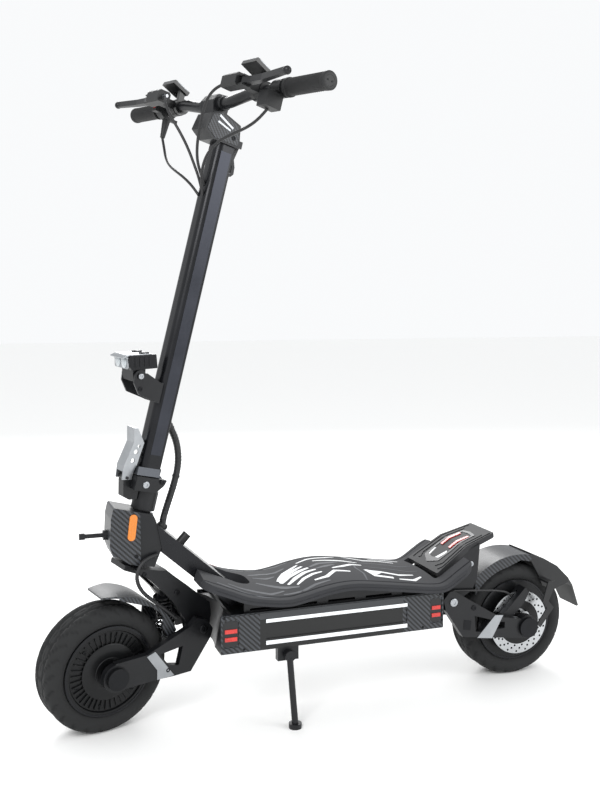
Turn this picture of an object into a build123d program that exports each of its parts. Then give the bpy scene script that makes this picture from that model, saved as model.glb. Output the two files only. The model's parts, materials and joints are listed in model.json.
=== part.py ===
from build123d import *
from math import asin, cos, degrees, pi, radians, sin, tan
import os

# Electric kick scooter, millimetres and degrees. +Z is up, the scooter heads
# towards -X, and its left side is -Y. The origin is on the floor, on the middle
# plane of the chassis and halfway between the two axles.

# ---------------------------------------------------------------- driving sizes
WHEELBASE = 925.0
DRAWN_WHEELBASE = 925.0       # wheelbase for which the X stations below are given
TYRE_RADIUS = 127.5
TYRE_HALF = 38.0
TREAD_FLAT_HALF = 14.0
RIM_RADIUS = 92.0
RIM_HALF = 33.5
BEAD_RADIUS = 86.0
DISC_RADIUS = 72.0
DISC_THICK = 2.4
AXLE_RADIUS = 7.5
BEARING_RADIUS = 17.5
BEARING_WIDTH = 10.0
STATOR_RADIUS = 66.0

RAKE = 14.0                   # steering axis leans back by this much
STEER_TRAIL = 22.0            # axis meets the floor this far ahead of the axle
STEER_REST = 17.3             # handlebar turned to the left, as parked
FRONT_AXLE_A = -9.5
STEERER_RADIUS = 17.0
HEAD_BOTTOM_S = 345.0
HEAD_TOP_S = 448.0
HEAD_HALF = 40.0
SWEEP_RADIUS = 203.0          # room for the fork as it steers

BOX_HALF = 100.0
BOX_BOTTOM = 155.0
BOX_TOP = 232.0
BOX_WALL = 5.0
COVER_THICK = 6.0
LID_THICK = 6.0
PAD_HALF = 118.0
PAD_RIM = 14.0
PAD_CROWN = 10.0
NECK_HALF = 40.0
NECK_DEPTH = 36.0

FORK_INNER = 30.0
FORK_OUTER = 48.0
FRONT_ARM_INNER = 56.0
FRONT_ARM_OUTER = 70.0
REAR_ARM_INNER = 72.0
REAR_ARM_OUTER = 90.0
ARM_PIVOT_RADIUS = 8.0
FENDER_RADIUS = 150.0
FENDER_THICK = 3.5
FENDER_HALF = 47.0

FOLD_A = 11.0
FOLD_S = 513.4
FOLD_PIN_RADIUS = 4.0
STEM_BOTTOM_S = 535.5
STEM_TOP_S = 1186.0
STEM_FRONT = -33.0
STEM_REAR = 9.0
STEM_HALF = 21.0
STEM_WALL = 3.0
BAR_HALF = 347.6
BAR_RADIUS = 11.1
BAR_CLAMP_RADIUS = 14.0
GRIP_RADIUS = 16.0
GRIP_START = 236.0
HARNESS_RADIUS = 7.0
HOSE_RADIUS = 2.8

RUNNING_FIT = 0.05            # radial, shaft in bearing or bush
SIDE_GAP = 1.0                # between faces that pass each other
EYE_SLACK = 1.5               # lower shock eye, the pivot that is left open

# ------------------------------------------------------------- derived places
FRONT_SHIFT = -(WHEELBASE - DRAWN_WHEELBASE) / 2
REAR_SHIFT = (WHEELBASE - DRAWN_WHEELBASE) / 2
REAR_AXLE_X = WHEELBASE / 2
STEER_X = -WHEELBASE / 2 - STEER_TRAIL
BOX_FRONT = -243.0 + FRONT_SHIFT
BOX_REAR = 246.0 + REAR_SHIFT
CAMBER = asin(sin(radians(RAKE)) * sin(radians(STEER_REST)))
WHEEL_DROP = TYRE_RADIUS * cos(CAMBER) + TREAD_FLAT_HALF * sin(CAMBER)
AXLE_DIP = FRONT_AXLE_A * cos(radians(STEER_REST)) * sin(radians(RAKE))
FRONT_AXLE_S = (WHEEL_DROP + AXLE_DIP) / cos(radians(RAKE))
FRONT_AXLE = (FRONT_AXLE_A, FRONT_AXLE_S)
REAR_AXLE = (REAR_AXLE_X, TYRE_RADIUS)
FRONT_PIVOT = (161.7, 233.8)
FRONT_EYE_TOP = (88.0, 290.0)
FRONT_EYE_LOW = (118.0, 205.0)
REAR_PIVOT = (276.2 + REAR_SHIFT, 203.1)
REAR_EYE_TOP = (334.0 + REAR_SHIFT, 275.0)
REAR_EYE_LOW = (326.0 + REAR_SHIFT, 186.0)
LATCH_PIVOT = (-57.3, 509.2)
LAMP_PIVOT = (-86.0, 708.0)
LAMP_LEVEL = 16.0             # the lamp is turned nose down by this much from the column
HOOK_PIVOT = (24.0, 1198.0)
STAND_PIVOT = (-103.4, 139.7)
BAR_MIDDLE = (-46.0, 1256.0)
BAR_BEND = (-44.0, 115.0, 1266.0)
BAR_END = (-40.0, BAR_HALF, 1267.0)

# Column frame: a runs backwards from the steering axis, y to the right and s up
# along the axis from the floor. Steered pieces are drawn in it, straight ahead.
COLUMN = Location((STEER_X, 0, 0), (0, RAKE, 0))
STEERED = COLUMN * Rotation(0, 0, STEER_REST)

parts = {}


# -------------------------------------------------------------------- helpers
def group(*shapes):
    return Compound(children=[solid for shape in shapes for solid in shape.solids()])


def placed(location, shape):
    return Compound(children=[location * solid for solid in shape.solids()])


def outline(points, half, mid=0.0, corner=0.0):
    """Plate outlined in the X-Z plane, 2 x half wide about y = mid."""
    face = Polygon(*points, align=None)
    if corner:
        face = fillet(face.vertices(), corner)
    return Pos(0, mid, 0) * extrude(Plane.XZ * face, half, both=True)


def plan(points, low, high, corner=0.0):
    """Solid outlined in plan, from height low to high."""
    face = Polygon(*points, align=None)
    if corner:
        face = fillet(face.vertices(), corner)
    return Pos(0, 0, low) * extrude(face, high - low)


def block(x0, x1, y0, y1, z0, z1):
    return Pos((x0 + x1) / 2, (y0 + y1) / 2, (z0 + z1) / 2) * Box(x1 - x0, y1 - y0, z1 - z0)


def rod(start, end, radius):
    axis = Vector(*end) - Vector(*start)
    foot = (Align.CENTER, Align.CENTER, Align.MIN)
    return Plane(origin=start, z_dir=axis) * Cylinder(radius, axis.length, align=foot)


def cross(place, radius, y0, y1):
    """Round bar along Y at (x, z)."""
    return rod((place[0], y0, place[1]), (place[0], y1, place[1]), radius)


def mirrored(shape):
    return mirror(shape, about=Plane.XZ)


def both(shape):
    return group(shape, mirrored(shape))


def turned(points):
    """Solid turned about Y from (radius, y) points."""
    return revolve(Polygon(*points, align=None), Axis.Y)


def shifted(points, dx):
    return [(x + dx, z) for x, z in points]


def smooth_path(points, name=None):
    """Runs joined by tangent arcs, each as large as its two runs allow."""
    corners = [Vector(*point) for point in points]
    radii = []
    for before, corner, after in zip(corners, corners[1:], corners[2:]):
        turn = radians((corner - before).get_angle(after - corner))
        shorter = min((corner - before).length, (after - corner).length)
        radii.append(0.45 * shorter / tan(turn / 2))
    if name:
        print(name, "arc radii", [round(radius) for radius in radii])
    return FilletPolyline(*points, radius=radii)


def cord(name, points, radius):
    path = smooth_path(points, name)
    solid = sweep(Plane(origin=path @ 0, z_dir=path % 0) * Circle(radius), path)
    print(name, "length", round(path.length, 1), "volume ratio",
          round(solid.volume / (pi * radius ** 2 * path.length), 4))
    return solid


# --------------------------------------------------------------------- wheels
def tyre():
    bead_y = RIM_HALF - 3.5
    outer = [
        Line((BEAD_RADIUS, -bead_y), (RIM_RADIUS + 1, -bead_y)),
        ThreePointArc((RIM_RADIUS + 1, -bead_y),
                      ((RIM_RADIUS + TYRE_RADIUS) / 2 + 2.3, -TYRE_HALF),
                      (TYRE_RADIUS, -TREAD_FLAT_HALF)),
        Line((TYRE_RADIUS, -TREAD_FLAT_HALF), (TYRE_RADIUS, TREAD_FLAT_HALF)),
        ThreePointArc((TYRE_RADIUS, TREAD_FLAT_HALF),
                      ((RIM_RADIUS + TYRE_RADIUS) / 2 + 2.3, TYRE_HALF),
                      (RIM_RADIUS + 1, bead_y)),
        Line((RIM_RADIUS + 1, bead_y), (BEAD_RADIUS, bead_y)),
        Line((BEAD_RADIUS, bead_y), (BEAD_RADIUS, -bead_y)),
    ]
    crown = TYRE_RADIUS - 10
    shoulder = (RIM_RADIUS + TYRE_RADIUS) / 2 - 6
    cavity = [(BEAD_RADIUS, -22), (shoulder, -29), (crown, -15),
              (crown, 15), (shoulder, 29), (BEAD_RADIUS, 22)]
    ring = revolve(make_face(outer), Axis.Y)
    return ring - turned(cavity)


def hub(disc_y):
    """Hub motor rotor with its cover, bearings and disc seat; disc_y is signed."""
    side = 1 if disc_y > 0 else -1
    bead_y = RIM_HALF - 3.5
    wall = 24.0
    shell = turned([(RIM_RADIUS, RIM_HALF), (RIM_RADIUS, bead_y), (BEAD_RADIUS, bead_y),
                    (BEAD_RADIUS, -bead_y), (RIM_RADIUS, -bead_y), (RIM_RADIUS, -RIM_HALF),
                    (RIM_RADIUS - 9, -RIM_HALF), (RIM_RADIUS - 14, -wall + 2),
                    (STATOR_RADIUS + 4, -wall + 2), (STATOR_RADIUS + 4, wall - 4),
                    (BEARING_RADIUS, wall - 4), (BEARING_RADIUS, RIM_HALF)])
    disc_in = abs(disc_y) - DISC_THICK / 2
    disc_out = abs(disc_y) + DISC_THICK / 2
    seat = turned([(AXLE_RADIUS + SIDE_GAP, RIM_HALF), (30, RIM_HALF), (30, disc_in),
                   (22, disc_in), (22, disc_out), (AXLE_RADIUS + SIDE_GAP, disc_out)])
    cover = turned([(BEARING_RADIUS, -wall + 2), (RIM_RADIUS - 14, -wall + 2),
                    (RIM_RADIUS - 11, -RIM_HALF + 3.5), (26, -RIM_HALF + 3.5),
                    (26, -RIM_HALF - 1.5), (BEARING_RADIUS, -RIM_HALF - 1.5)])
    fin = block(28, RIM_RADIUS - 14, -RIM_HALF, -RIM_HALF + 3.5, -0.9, 0.9)
    fins = [Rotation(0, 360 * turn / 40, 0) * fin for turn in range(40)]
    bearing = turned([(AXLE_RADIUS + RUNNING_FIT, 0), (BEARING_RADIUS, 0),
                      (BEARING_RADIUS, BEARING_WIDTH), (AXLE_RADIUS + RUNNING_FIT, BEARING_WIDTH)])
    whole = group(shell + seat, cover + fins, Pos(0, wall - 3, 0) * bearing,
                  Pos(0, -wall - 7, 0) * bearing)
    return whole if side > 0 else placed(Rotation(0, 0, 180), whole)


def brake_disc(disc_y):
    plate = cross((0, 0), DISC_RADIUS, disc_y - DISC_THICK / 2, disc_y + DISC_THICK / 2)
    plate -= cross((0, 0), 22, disc_y - 5, disc_y + 5)
    cuts = []
    for turn in range(6):
        cuts.append(Rotation(0, 60 * turn, 0) * cross((38, 0), 10, disc_y - 5, disc_y + 5))
    for turn in range(18):
        for row, radius in enumerate((54, 60.5, 67)):
            spin = Rotation(0, 20 * turn + 7 * row, 0)
            cuts.append(spin * cross((radius, 0), 2.4, disc_y - 5, disc_y + 5))
    return plate - cuts


def axle(half, collar_left, collar_right, arm_inner, cap_half):
    """Shaft with spacers up to the arms, stator and the two end caps."""
    shaft = cross((0, 0), AXLE_RADIUS, -half, half)
    left = cross((0, 0), 12, -arm_inner, -collar_left)
    right = cross((0, 0), 12, collar_right, arm_inner)
    cap = cross((0, 0), 22, half, cap_half)
    stator = cross((0, 0), STATOR_RADIUS, -15, 15) - cross((0, 0), AXLE_RADIUS, -16, 16)
    return group(shaft + left + right + cap + mirrored(cap), stator)


def caliper(disc_y, inner, outer):
    """Brake caliper over the top front of the disc, with a slot for it."""
    low, high = sorted((inner, outer))
    body = outline([(-52, 28), (-14, 66), (4, 84), (14, 72), (0, 48), (-30, 18)],
                   (high - low) / 2, (high + low) / 2)
    slot = cross((0, 0), DISC_RADIUS + 3, disc_y - 2.4, disc_y + 2.4)
    return body - slot


# --------------------------------------------------------------------- shocks
def shock(top, low):
    """Damper body, rod and spring between two eyes in the X-Z plane."""
    axis = Vector(low[0] - top[0], 0, low[1] - top[1])
    length = axis.length
    along = Plane(origin=(top[0], 0, top[1]), z_dir=axis, x_dir=(0, 1, 0))
    foot = (Align.CENTER, Align.CENTER, Align.MIN)

    def bar(start, end, radius):
        return Pos(0, 0, start) * Cylinder(radius, end - start, align=foot)

    eye = Rotation(0, 90, 0) * (Cylinder(12, 20) - Cylinder(6 + RUNNING_FIT, 30))
    bore = bar(28, 60, 5 + RUNNING_FIT)
    body = eye + (bar(0, 54, 11) - Rotation(0, 90, 0) * Cylinder(9, 30)) + bar(13, 17, 20) - bore
    low_eye = Cylinder(15, 20) - Cylinder(9 + EYE_SLACK, 30)
    low_eye = Pos(0, 0, length) * Rotation(0, 90, 0) * low_eye
    piston = bar(40, length - 13, 5) + bar(length - 19, length - 15, 20)
    spring = bar(17 + SIDE_GAP, length - 19 - SIDE_GAP, 18) - bar(0, length, 13)
    return [along * piece for piece in (body, piston + low_eye, spring)]


# ---------------------------------------------------------------- chassis box
def sweep_room():
    return COLUMN * Cylinder(SWEEP_RADIUS, 700, align=(Align.CENTER, Align.CENTER, Align.MIN))


STRIP_X0 = -150.0 + FRONT_SHIFT
STRIP_X1 = 161.0 + REAR_SHIFT
STRIP_ROWS = ((210.0, 217.0), (165.0, 173.0))
LAMP_POCKETS = ((BOX_FRONT + 4, BOX_FRONT + 37), (BOX_REAR - 31, BOX_REAR - 3))
LAMP_ROWS = (196.0, 180.0)


def chassis_pieces():
    inner = BOX_HALF - COVER_THICK
    lid_low = BOX_TOP - LID_THICK
    tub = block(BOX_FRONT, BOX_REAR, -inner, inner, BOX_BOTTOM, lid_low)
    tub -= block(BOX_FRONT + 38, BOX_REAR - BOX_WALL, -inner + BOX_WALL, inner - BOX_WALL,
                 BOX_BOTTOM + BOX_WALL, lid_low + 1)
    tub -= sweep_room()
    x, z = STAND_PIVOT
    ear = block(x - 22, x + 22, -inner - 5.5, -inner + 10, z - 12, BOX_BOTTOM)
    pin = cross(STAND_PIVOT, 5, -inner - 20, -inner)
    parts["chassis_box"] = group(tub + ear + pin)

    side = block(BOX_FRONT, BOX_REAR, -BOX_HALF, -inner, BOX_BOTTOM, BOX_TOP)
    side -= outline([(BOX_FRONT - 1, BOX_TOP + 1), (BOX_REAR + 1, BOX_TOP + 1),
                     (BOX_REAR + 1, BOX_TOP - 2), (BOX_FRONT - 1, BOX_TOP - 2)], 2, -BOX_HALF)
    side -= block(STRIP_X0, STRIP_X1, -BOX_HALF - 1, -BOX_HALF + 2, 177, 206)
    strips = []
    lamps = []
    for low, high in STRIP_ROWS:
        strips.append(block(STRIP_X0, STRIP_X1, -BOX_HALF - 0.4, -BOX_HALF + 3, low, high))
    for x0, x1 in LAMP_POCKETS:
        side -= block(x0, x1, -BOX_HALF - 1, -BOX_HALF + 2, 167, 222)
        for row in LAMP_ROWS:
            lamps.append(block(x0 + 4, x1 - 4, -BOX_HALF, -BOX_HALF + 3.5, row, row + 8))
    side = side - strips - lamps - sweep_room()
    parts["side_covers"] = both(side)
    parts["light_strips"] = both(group(*strips))

    kick_bar = shifted([(303, 302.7), (322, 315), (350, 323.83), (349.4, 325.8),
                        (321.4, 317.2), (302, 304.6)], REAR_SHIFT)
    tail = [outline(kick_bar, 4, y) for y in (-18, 18)]
    parts["red_lamps"] = group(both(group(*lamps)), *tail)
    battery = block(BOX_FRONT + 45, 110 + REAR_SHIFT, -80, 80, 161, 218)
    controller = block(120 + REAR_SHIFT, BOX_REAR - 12, -70, 70, 161, 205)
    parts["battery_and_controller"] = group(battery, controller)


def deck_points():
    """Underside of the foot pad along the middle, front to rear."""
    front = shifted([(-284, 295), (-228, 272), (-190, 254), (-113, 241), (-75, 246)], FRONT_SHIFT)
    middle = [(-20, 258.5), (30, 263), (90, 255)]
    rear = shifted([(150, 246), (220, 235), (250, 237), (290, 264), (316, 280)], REAR_SHIFT)
    return front + middle + rear


def deck_pieces():
    path = smooth_path([(x, 0, z) for x, z in deck_points()])
    top = ThreePointArc((-PAD_HALF, PAD_RIM), (0, PAD_RIM + PAD_CROWN), (PAD_HALF, PAD_RIM))
    rim = Polyline((PAD_HALF, PAD_RIM), (PAD_HALF, 0), (-PAD_HALF, 0), (-PAD_HALF, PAD_RIM))
    section = make_face([top] + list(rim.edges()))
    pad = sweep(Plane(origin=path @ 0, z_dir=path % 0, x_dir=(0, 1, 0)) * section, path)
    x0 = -284 + FRONT_SHIFT
    x1 = 316 + REAR_SHIFT
    keep = plan([(x0, -PAD_HALF), (x1, -PAD_HALF), (x1, PAD_HALF), (x0, PAD_HALF)], 200, 340, 34)
    throat = NECK_HALF + 3
    cut = plan([(x0 - 20, -throat), (-160 + FRONT_SHIFT, -throat),
                (-160 + FRONT_SHIFT, throat), (x0 - 20, throat)], 200, 360)
    notch = plan([(236 + REAR_SHIFT, -78), (x1 + 20, -78), (x1 + 20, 78), (236 + REAR_SHIFT, 78)],
                 200, 360)
    pad = (pad & keep) - cut - notch
    parts["deck_pad"] = pad

    rail_x0 = -192 + FRONT_SHIFT
    rail_x1 = 226 + REAR_SHIFT
    lid = block(BOX_FRONT + 24, BOX_REAR, -BOX_HALF + COVER_THICK, BOX_HALF - COVER_THICK,
                BOX_TOP - LID_THICK, BOX_TOP) - sweep_room()
    rail = block(rail_x0, rail_x1, -88, -78, BOX_TOP, 262)
    count = 5
    pitch = (rail_x1 - rail_x0) / count
    for number in range(count):
        start = rail_x0 + number * pitch + 12
        rail -= block(start, start + pitch - 24, -90, -70, BOX_TOP + 2, BOX_TOP + 7)
    above = []
    for (ax, az), (bx, bz) in zip(deck_points(), deck_points()[1:]):
        above.append(outline([(ax, az), (bx, bz), (bx, 400), (ax, 400)], 130))
    rail = rail - above - pad
    parts["deck_riser"] = group(lid + rail + mirrored(rail))


def kick_pieces():
    plate = outline(shifted([(245, 265), (322, 315), (395, 338), (398, 327),
                             (326, 303), (252, 254)], REAR_SHIFT), 90)
    keep = plan(shifted([(240, -72), (400, -50), (400, 50), (240, 72)], REAR_SHIFT), 200, 360, 10)
    bracket = outline([(BOX_REAR, 165), (REAR_PIVOT[0] + 6, 180), (REAR_PIVOT[0] + 28, 196),
                       (338 + REAR_SHIFT, 216), (350 + REAR_SHIFT, 240), (356 + REAR_SHIFT, 318),
                       (326 + REAR_SHIFT, 306), (262 + REAR_SHIFT, 263), (BOX_REAR, 228)], 4, -56)
    bracket += cross(REAR_EYE_TOP, 14, -56, -52)
    bracket -= cross(REAR_PIVOT, ARM_PIVOT_RADIUS + RUNNING_FIT, -70, -40)
    pin = cross(REAR_EYE_TOP, 6, -56, 56)
    plate = (plate & keep)
    frame = bracket + mirrored(bracket) + pin
    parts["kick_plate"] = plate
    parts["kick_brackets"] = group(frame - plate)


# ----------------------------------------------------------------- head, neck
HEAD_OUTLINE = shifted([(-428, 458), (-439.5, 447), (-444, 428), (-447, 373), (-441, 355),
                        (-430, 352), (-407, 336), (-360, 326), (-345, 362), (-356, 420),
                        (-368, 446)], FRONT_SHIFT)
COVER_REAR_X = -387.0 + FRONT_SHIFT
COVER_WALL = 3.5


def head_pieces():
    level = COLUMN * block(-200, 200, -100, 100, HEAD_BOTTOM_S, HEAD_TOP_S)
    bore = COLUMN * Pos(0, 0, HEAD_BOTTOM_S - 5) * Cylinder(
        STEERER_RADIUS + 2, 200, align=(Align.CENTER, Align.CENTER, Align.MIN))
    solid = outline(HEAD_OUTLINE, HEAD_HALF) & level
    cover_zone = block(-600, COVER_REAR_X, -80, 80, 300, 480)
    shell = solid & cover_zone
    inside = Pos(COVER_WALL, 0, 0) * outline(HEAD_OUTLINE, HEAD_HALF - COVER_WALL)
    core = solid & inside
    bearing_height = 10.0
    cups = []
    for s in (HEAD_BOTTOM_S + 2, HEAD_TOP_S - 2 - bearing_height):
        cups.append(COLUMN * Pos(0, 0, s + bearing_height / 2) * Cylinder(
            STEERER_RADIUS + 6, bearing_height))
    races = [cup - COLUMN * Pos(0, 0, 380) * Cylinder(STEERER_RADIUS + RUNNING_FIT, 300)
             for cup in cups]
    shell = shell - inside - bore - cups
    core = core - shell - bore - cups
    x0 = -446.5 + FRONT_SHIFT
    peg = rod((x0 - 8, 0, 390), (x0, 0, 390), 10) + rod((x0 - 44, 0, 390), (x0, 0, 390), 4.5)
    peg += rod((x0 - 54, 0, 390), (x0 - 43, 0, 390), 6.5)
    peg = peg - shell - core

    neck = outline(shifted([(-361, 417), (-152.5, 232), (-207, 232), (-385, 390)], FRONT_SHIFT),
                   NECK_HALF)
    neck = neck - solid - cover_zone
    neck -= COLUMN * Pos(0, 0, 300) * Cylinder(STEERER_RADIUS + 6, 200)
    parts["neck_tube"] = neck
    parts["head_tube"] = group(core, peg)
    parts["head_cover"] = group(shell)
    parts["headset_bearings"] = group(*races)
    lean = 7.3
    lens = Pos(-402.8 + FRONT_SHIFT, -HEAD_HALF, 409.5) * Rotation(90, 0, 0) * extrude(
        Rotation(0, 0, -lean) * SlotOverall(52, 15, rotation=90), 2.5)
    parts["reflectors"] = both(lens)
    top = (-300 + FRONT_SHIFT, 362.9)
    up = (sin(radians(41.6)), cos(radians(41.6)))
    seat = (top[0], 0, top[1])
    tip = (top[0] + 22 * up[0], 0, top[1] + 22 * up[1])
    parts["charge_port"] = group(rod(seat, tip, 9) - neck)


# ------------------------------------------------------------ steered pieces
def steered(name, *shapes):
    parts[name] = placed(STEERED, group(*shapes))


def fork_pieces():
    top = HEAD_BOTTOM_S - 4
    arm = outline([(-15, top), (60, top), (118, 313), (178, 282), (186, 262), (190, 234),
                   (178, 211), (162, 206), (142, 214), (128, 244), (86, 282), (71, 292),
                   (27, 320), (-8, 334)], (FORK_OUTER - FORK_INNER) / 2,
                  -(FORK_OUTER + FORK_INNER) / 2)
    arm -= cross(FRONT_PIVOT, ARM_PIVOT_RADIUS + RUNNING_FIT, -60, -20)
    crown = outline([(-26, top), (64, top), (100, 322), (100, 303), (64, 306), (27, 322),
                     (-26, 331)], FORK_INNER)
    pin = cross(FRONT_EYE_TOP, 6, -FORK_INNER, FORK_INNER)
    steered("front_fork", arm + mirrored(arm) + crown + pin)

    foot = (Align.CENTER, Align.CENTER, Align.MIN)
    tube = Pos(0, 0, top) * Cylinder(STEERER_RADIUS, 494 - top, align=foot)
    tube += Pos(0, 0, HEAD_TOP_S + 3) * Cylinder(24, 490 - HEAD_TOP_S - 3, align=foot)
    tube -= Pos(0, 0, top - 1) * Cylinder(STEERER_RADIUS - 4, 160, align=foot)
    body = outline([(-45, 490), (3, 490), (18, 506), (22, 518), (-45, 518)], 32, corner=2)
    base = outline([(-62, 506), (-61, 500), (-54, 471), (-40, 466.5), (-24, 470), (-24, 496),
                    (-45, 512)], 11)
    base += cross(LATCH_PIVOT, 6, -11, 11)
    base += cross(LATCH_PIVOT, 3, -17, 17)
    gap = block(1, 40, -16, 16, 503, 530)
    body = body - gap + cross((FOLD_A, FOLD_S), FOLD_PIN_RADIUS, -34, 34)
    steered("steerer_tube", tube - body)
    steered("hinge_lower", body + (base - tube))

    lever = outline([(-47, 507), (-67, 504), (-70, 531), (-60, 578.5), (-67, 607), (-58, 608),
                     (-38, 582), (-43, 537), (-47, 522)], 15, corner=1)
    lever -= outline([(-30, 495), (-90, 495), (-90, 520), (-67, 520), (-67, 531), (-57, 577),
                      (-58, 590), (-30, 584)], 12)
    for place, radius in (((-47.6, 574), 3), ((-51, 562), 4.5), ((-54, 544), 4.5)):
        lever -= cross(place, radius, -20, 20)
    lever -= cross(LATCH_PIVOT, 3 + RUNNING_FIT, -20, 20)
    steered("fold_latch", lever)


def stem_pieces():
    collar_foot = Pos(-19.5, 0, 520) * Rectangle(51, 56)
    collar_head = Pos(-17.75, 0, STEM_BOTTOM_S) * Rectangle(47.5, 44)
    collar = loft([collar_foot, collar_head])
    knuckle = cross((FOLD_A, FOLD_S), 9, -15.4, 15.4)
    knuckle += block(2, 13, -15.4, 15.4, FOLD_S, STEM_BOTTOM_S)
    knuckle -= block(-40, 1.9, -20, 20, 490, 519.9)
    collar = collar + knuckle - cross((FOLD_A, FOLD_S), FOLD_PIN_RADIUS + RUNNING_FIT, -40, 40)
    steered("stem_collar", collar)

    length = STEM_TOP_S - STEM_BOTTOM_S
    middle = (STEM_FRONT + STEM_REAR) / 2
    depth = STEM_REAR - STEM_FRONT
    face = Rectangle(depth, 2 * STEM_HALF)
    front = face.vertices().group_by(Axis.X)[0]
    rear = face.vertices().group_by(Axis.X)[-1]
    face = fillet(front, 14)
    rear = face.vertices().group_by(Axis.X)[-1]
    face = fillet(rear, 4)
    tube = extrude(face, length) - extrude(offset(face, -STEM_WALL), length)
    groove = Pos(4, 0, length / 2) * Box(13, 2 * STEM_HALF + 4, length - 60)
    groove -= Pos(4, 0, length / 2) * Box(30, 2 * STEM_HALF - 1.6, length)
    tube = Pos(middle, 0, STEM_BOTTOM_S) * (tube - groove)
    steered("stem_tube", tube)

    head = outline([(-43, 1244.5), (6, 1230), (8, 1215), (14, STEM_TOP_S), (-48, STEM_TOP_S),
                    (-71, 1201), (-64, 1233)], 26, corner=3)
    clamp = outline([(-30, 1236), (-28, 1262), (-40, 1274), (-58, 1272), (-66, 1258),
                     (-60, 1234)], 24, corner=2)
    bar_bore = cross(BAR_MIDDLE, BAR_CLAMP_RADIUS, -60, 60)
    hook_pin = cross(HOOK_PIVOT, 2.5, -12, 12) + block(8, 27, -12, -8, 1191, 1205)
    hook_pin += block(8, 27, 8, 12, 1191, 1205)
    steered("stem_head", head + clamp - bar_bore + (hook_pin - head))

    hook = cross(HOOK_PIVOT, 5.5, -4, 4)
    hook += outline([(21, 1197), (27, 1197), (20.5, 1168), (26, 1154), (27, 1140), (22, 1134),
                     (16.5, 1138), (20, 1142), (20, 1152), (15, 1166)], 4)
    hook -= cross(HOOK_PIVOT, 2.5 + RUNNING_FIT, -20, 20)
    steered("stem_hook", hook)


def bar_point(y):
    """Middle of the handlebar at a place outboard of its bend."""
    share = (abs(y) - BAR_BEND[1]) / (BAR_END[1] - BAR_BEND[1])
    a = BAR_BEND[0] + share * (BAR_END[0] - BAR_BEND[0])
    s = BAR_BEND[2] + share * (BAR_END[2] - BAR_BEND[2])
    return (a, y, s)


def on_bar(y0, y1, radius, bore=BAR_RADIUS):
    """Ring round the handlebar between two places along it."""
    whole = rod(bar_point(y0), bar_point(y1), radius)
    return whole - rod(bar_point(y0 - 5), bar_point(y1 + 5), bore)


def bar_pieces():
    a, y, s = BAR_BEND
    route = [(BAR_END[0], -BAR_HALF, BAR_END[2]), (a, -y, s), (BAR_MIDDLE[0], -55, BAR_MIDDLE[1]),
             (BAR_MIDDLE[0], 55, BAR_MIDDLE[1]), (a, y, s), BAR_END]
    path = FilletPolyline(*route, radius=60)
    tube = sweep(Plane(origin=path @ 0, z_dir=path % 0) * Circle(BAR_RADIUS), path)
    tube += cross(BAR_MIDDLE, BAR_CLAMP_RADIUS, -38, 38)
    steered("handlebar", tube)
    grip = on_bar(-BAR_HALF - 1, -GRIP_START, GRIP_RADIUS)
    grip += on_bar(-GRIP_START - 8, -GRIP_START, GRIP_RADIUS + 2)
    grip += rod(bar_point(-BAR_HALF - 4), bar_point(-BAR_HALF - 0.4), GRIP_RADIUS - 0.6)
    steered("grips", both(grip))

    master = block(-112, -84, -169, -120, 1254, 1278)
    master = chamfer(master.edges().filter_by(Axis.Y), 4)
    link = block(-88, -52, -169, -152, 1258, 1275)
    ears = block(-107, -86, -186, -168, 1270.4, 1273) + block(-107, -86, -186, -168, 1254, 1257.6)
    pin = rod(LEVER_PIVOT[0] + (1254,), LEVER_PIVOT[0] + (1273,), 2.5)
    clear = rod(bar_point(-175), bar_point(-145), BAR_RADIUS)
    perch = master + link + ears + pin + on_bar(-172, -150, 17) - clear
    switch = on_bar(-230, -202, 17) + block(-78, -44, -230, -202, 1224, 1252)
    switch = switch - rod(bar_point(-235), bar_point(-195), BAR_RADIUS)
    switch -= mode_button(0.3)
    throttle = on_bar(196, 218, 21) + block(-72, -56, 198, 216, 1254, 1278)
    throttle += Pos(-38, 207, 1228) * Cone(5, 9, 42)
    throttle -= rod(bar_point(190), bar_point(225), BAR_RADIUS)
    throttle -= power_button(0.3)
    steered("bar_controls", perch, mirrored(perch), switch, throttle)
    steered("mode_button", mode_button(0))
    steered("power_button", power_button(0))
    paddle = on_bar(219, 231, 15, BAR_RADIUS + 0.4) + block(-38, -6, 219, 231, 1250, 1255.5)
    paddle = paddle - rod(bar_point(215), bar_point(235), BAR_RADIUS + 0.4)
    steered("throttle_lever", paddle)

    for name, side in (("brake_lever_left", 0), ("brake_lever_right", 1)):
        blade = plan([(-99, -170), (-105, -178), (-101, -200), (-101, -235), (-108, -312),
                      (-101, -314), (-90, -236), (-88, -195), (-89, -174)], 1258.2, 1269.8, 2)
        blade += Pos(-104, -315, 1264) * Sphere(7.5)
        blade -= rod(LEVER_PIVOT[0] + (1240,), LEVER_PIVOT[0] + (1290,), 2.5 + RUNNING_FIT)
        steered(name, mirrored(blade) if side else blade)

    screens = []
    for side, a in ((-1, -67), (1, -57)):
        screen = Pos(a, side * 158, 1301) * Rotation(0, DISPLAY_TILT, 0) * Box(40, 50, 8)
        post = block(-56, -44, side * 143 - 5, side * 143 + 5, 1274, 1300)
        ring = on_bar(side * 143 - 5, side * 143 + 5, 16)
        screens.append(screen + (post + ring - rod(bar_point(side * 135), bar_point(side * 160),
                                                   BAR_RADIUS)))
    steered("displays", *screens)


LEVER_PIVOT = ((-97.0, -178.0), (-97.0, 178.0))
DISPLAY_TILT = 20.0
MODE_TRAVEL = 1.5
POWER_TRAVEL = 2.0


def mode_button(gap):
    """Push button on the rear of the left switch box, or its hole with room for its travel."""
    depth = MODE_TRAVEL + gap if gap else 0
    return rod((-50 - depth, -216, 1238), (-41, -216, 1238), 5 + gap)


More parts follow.
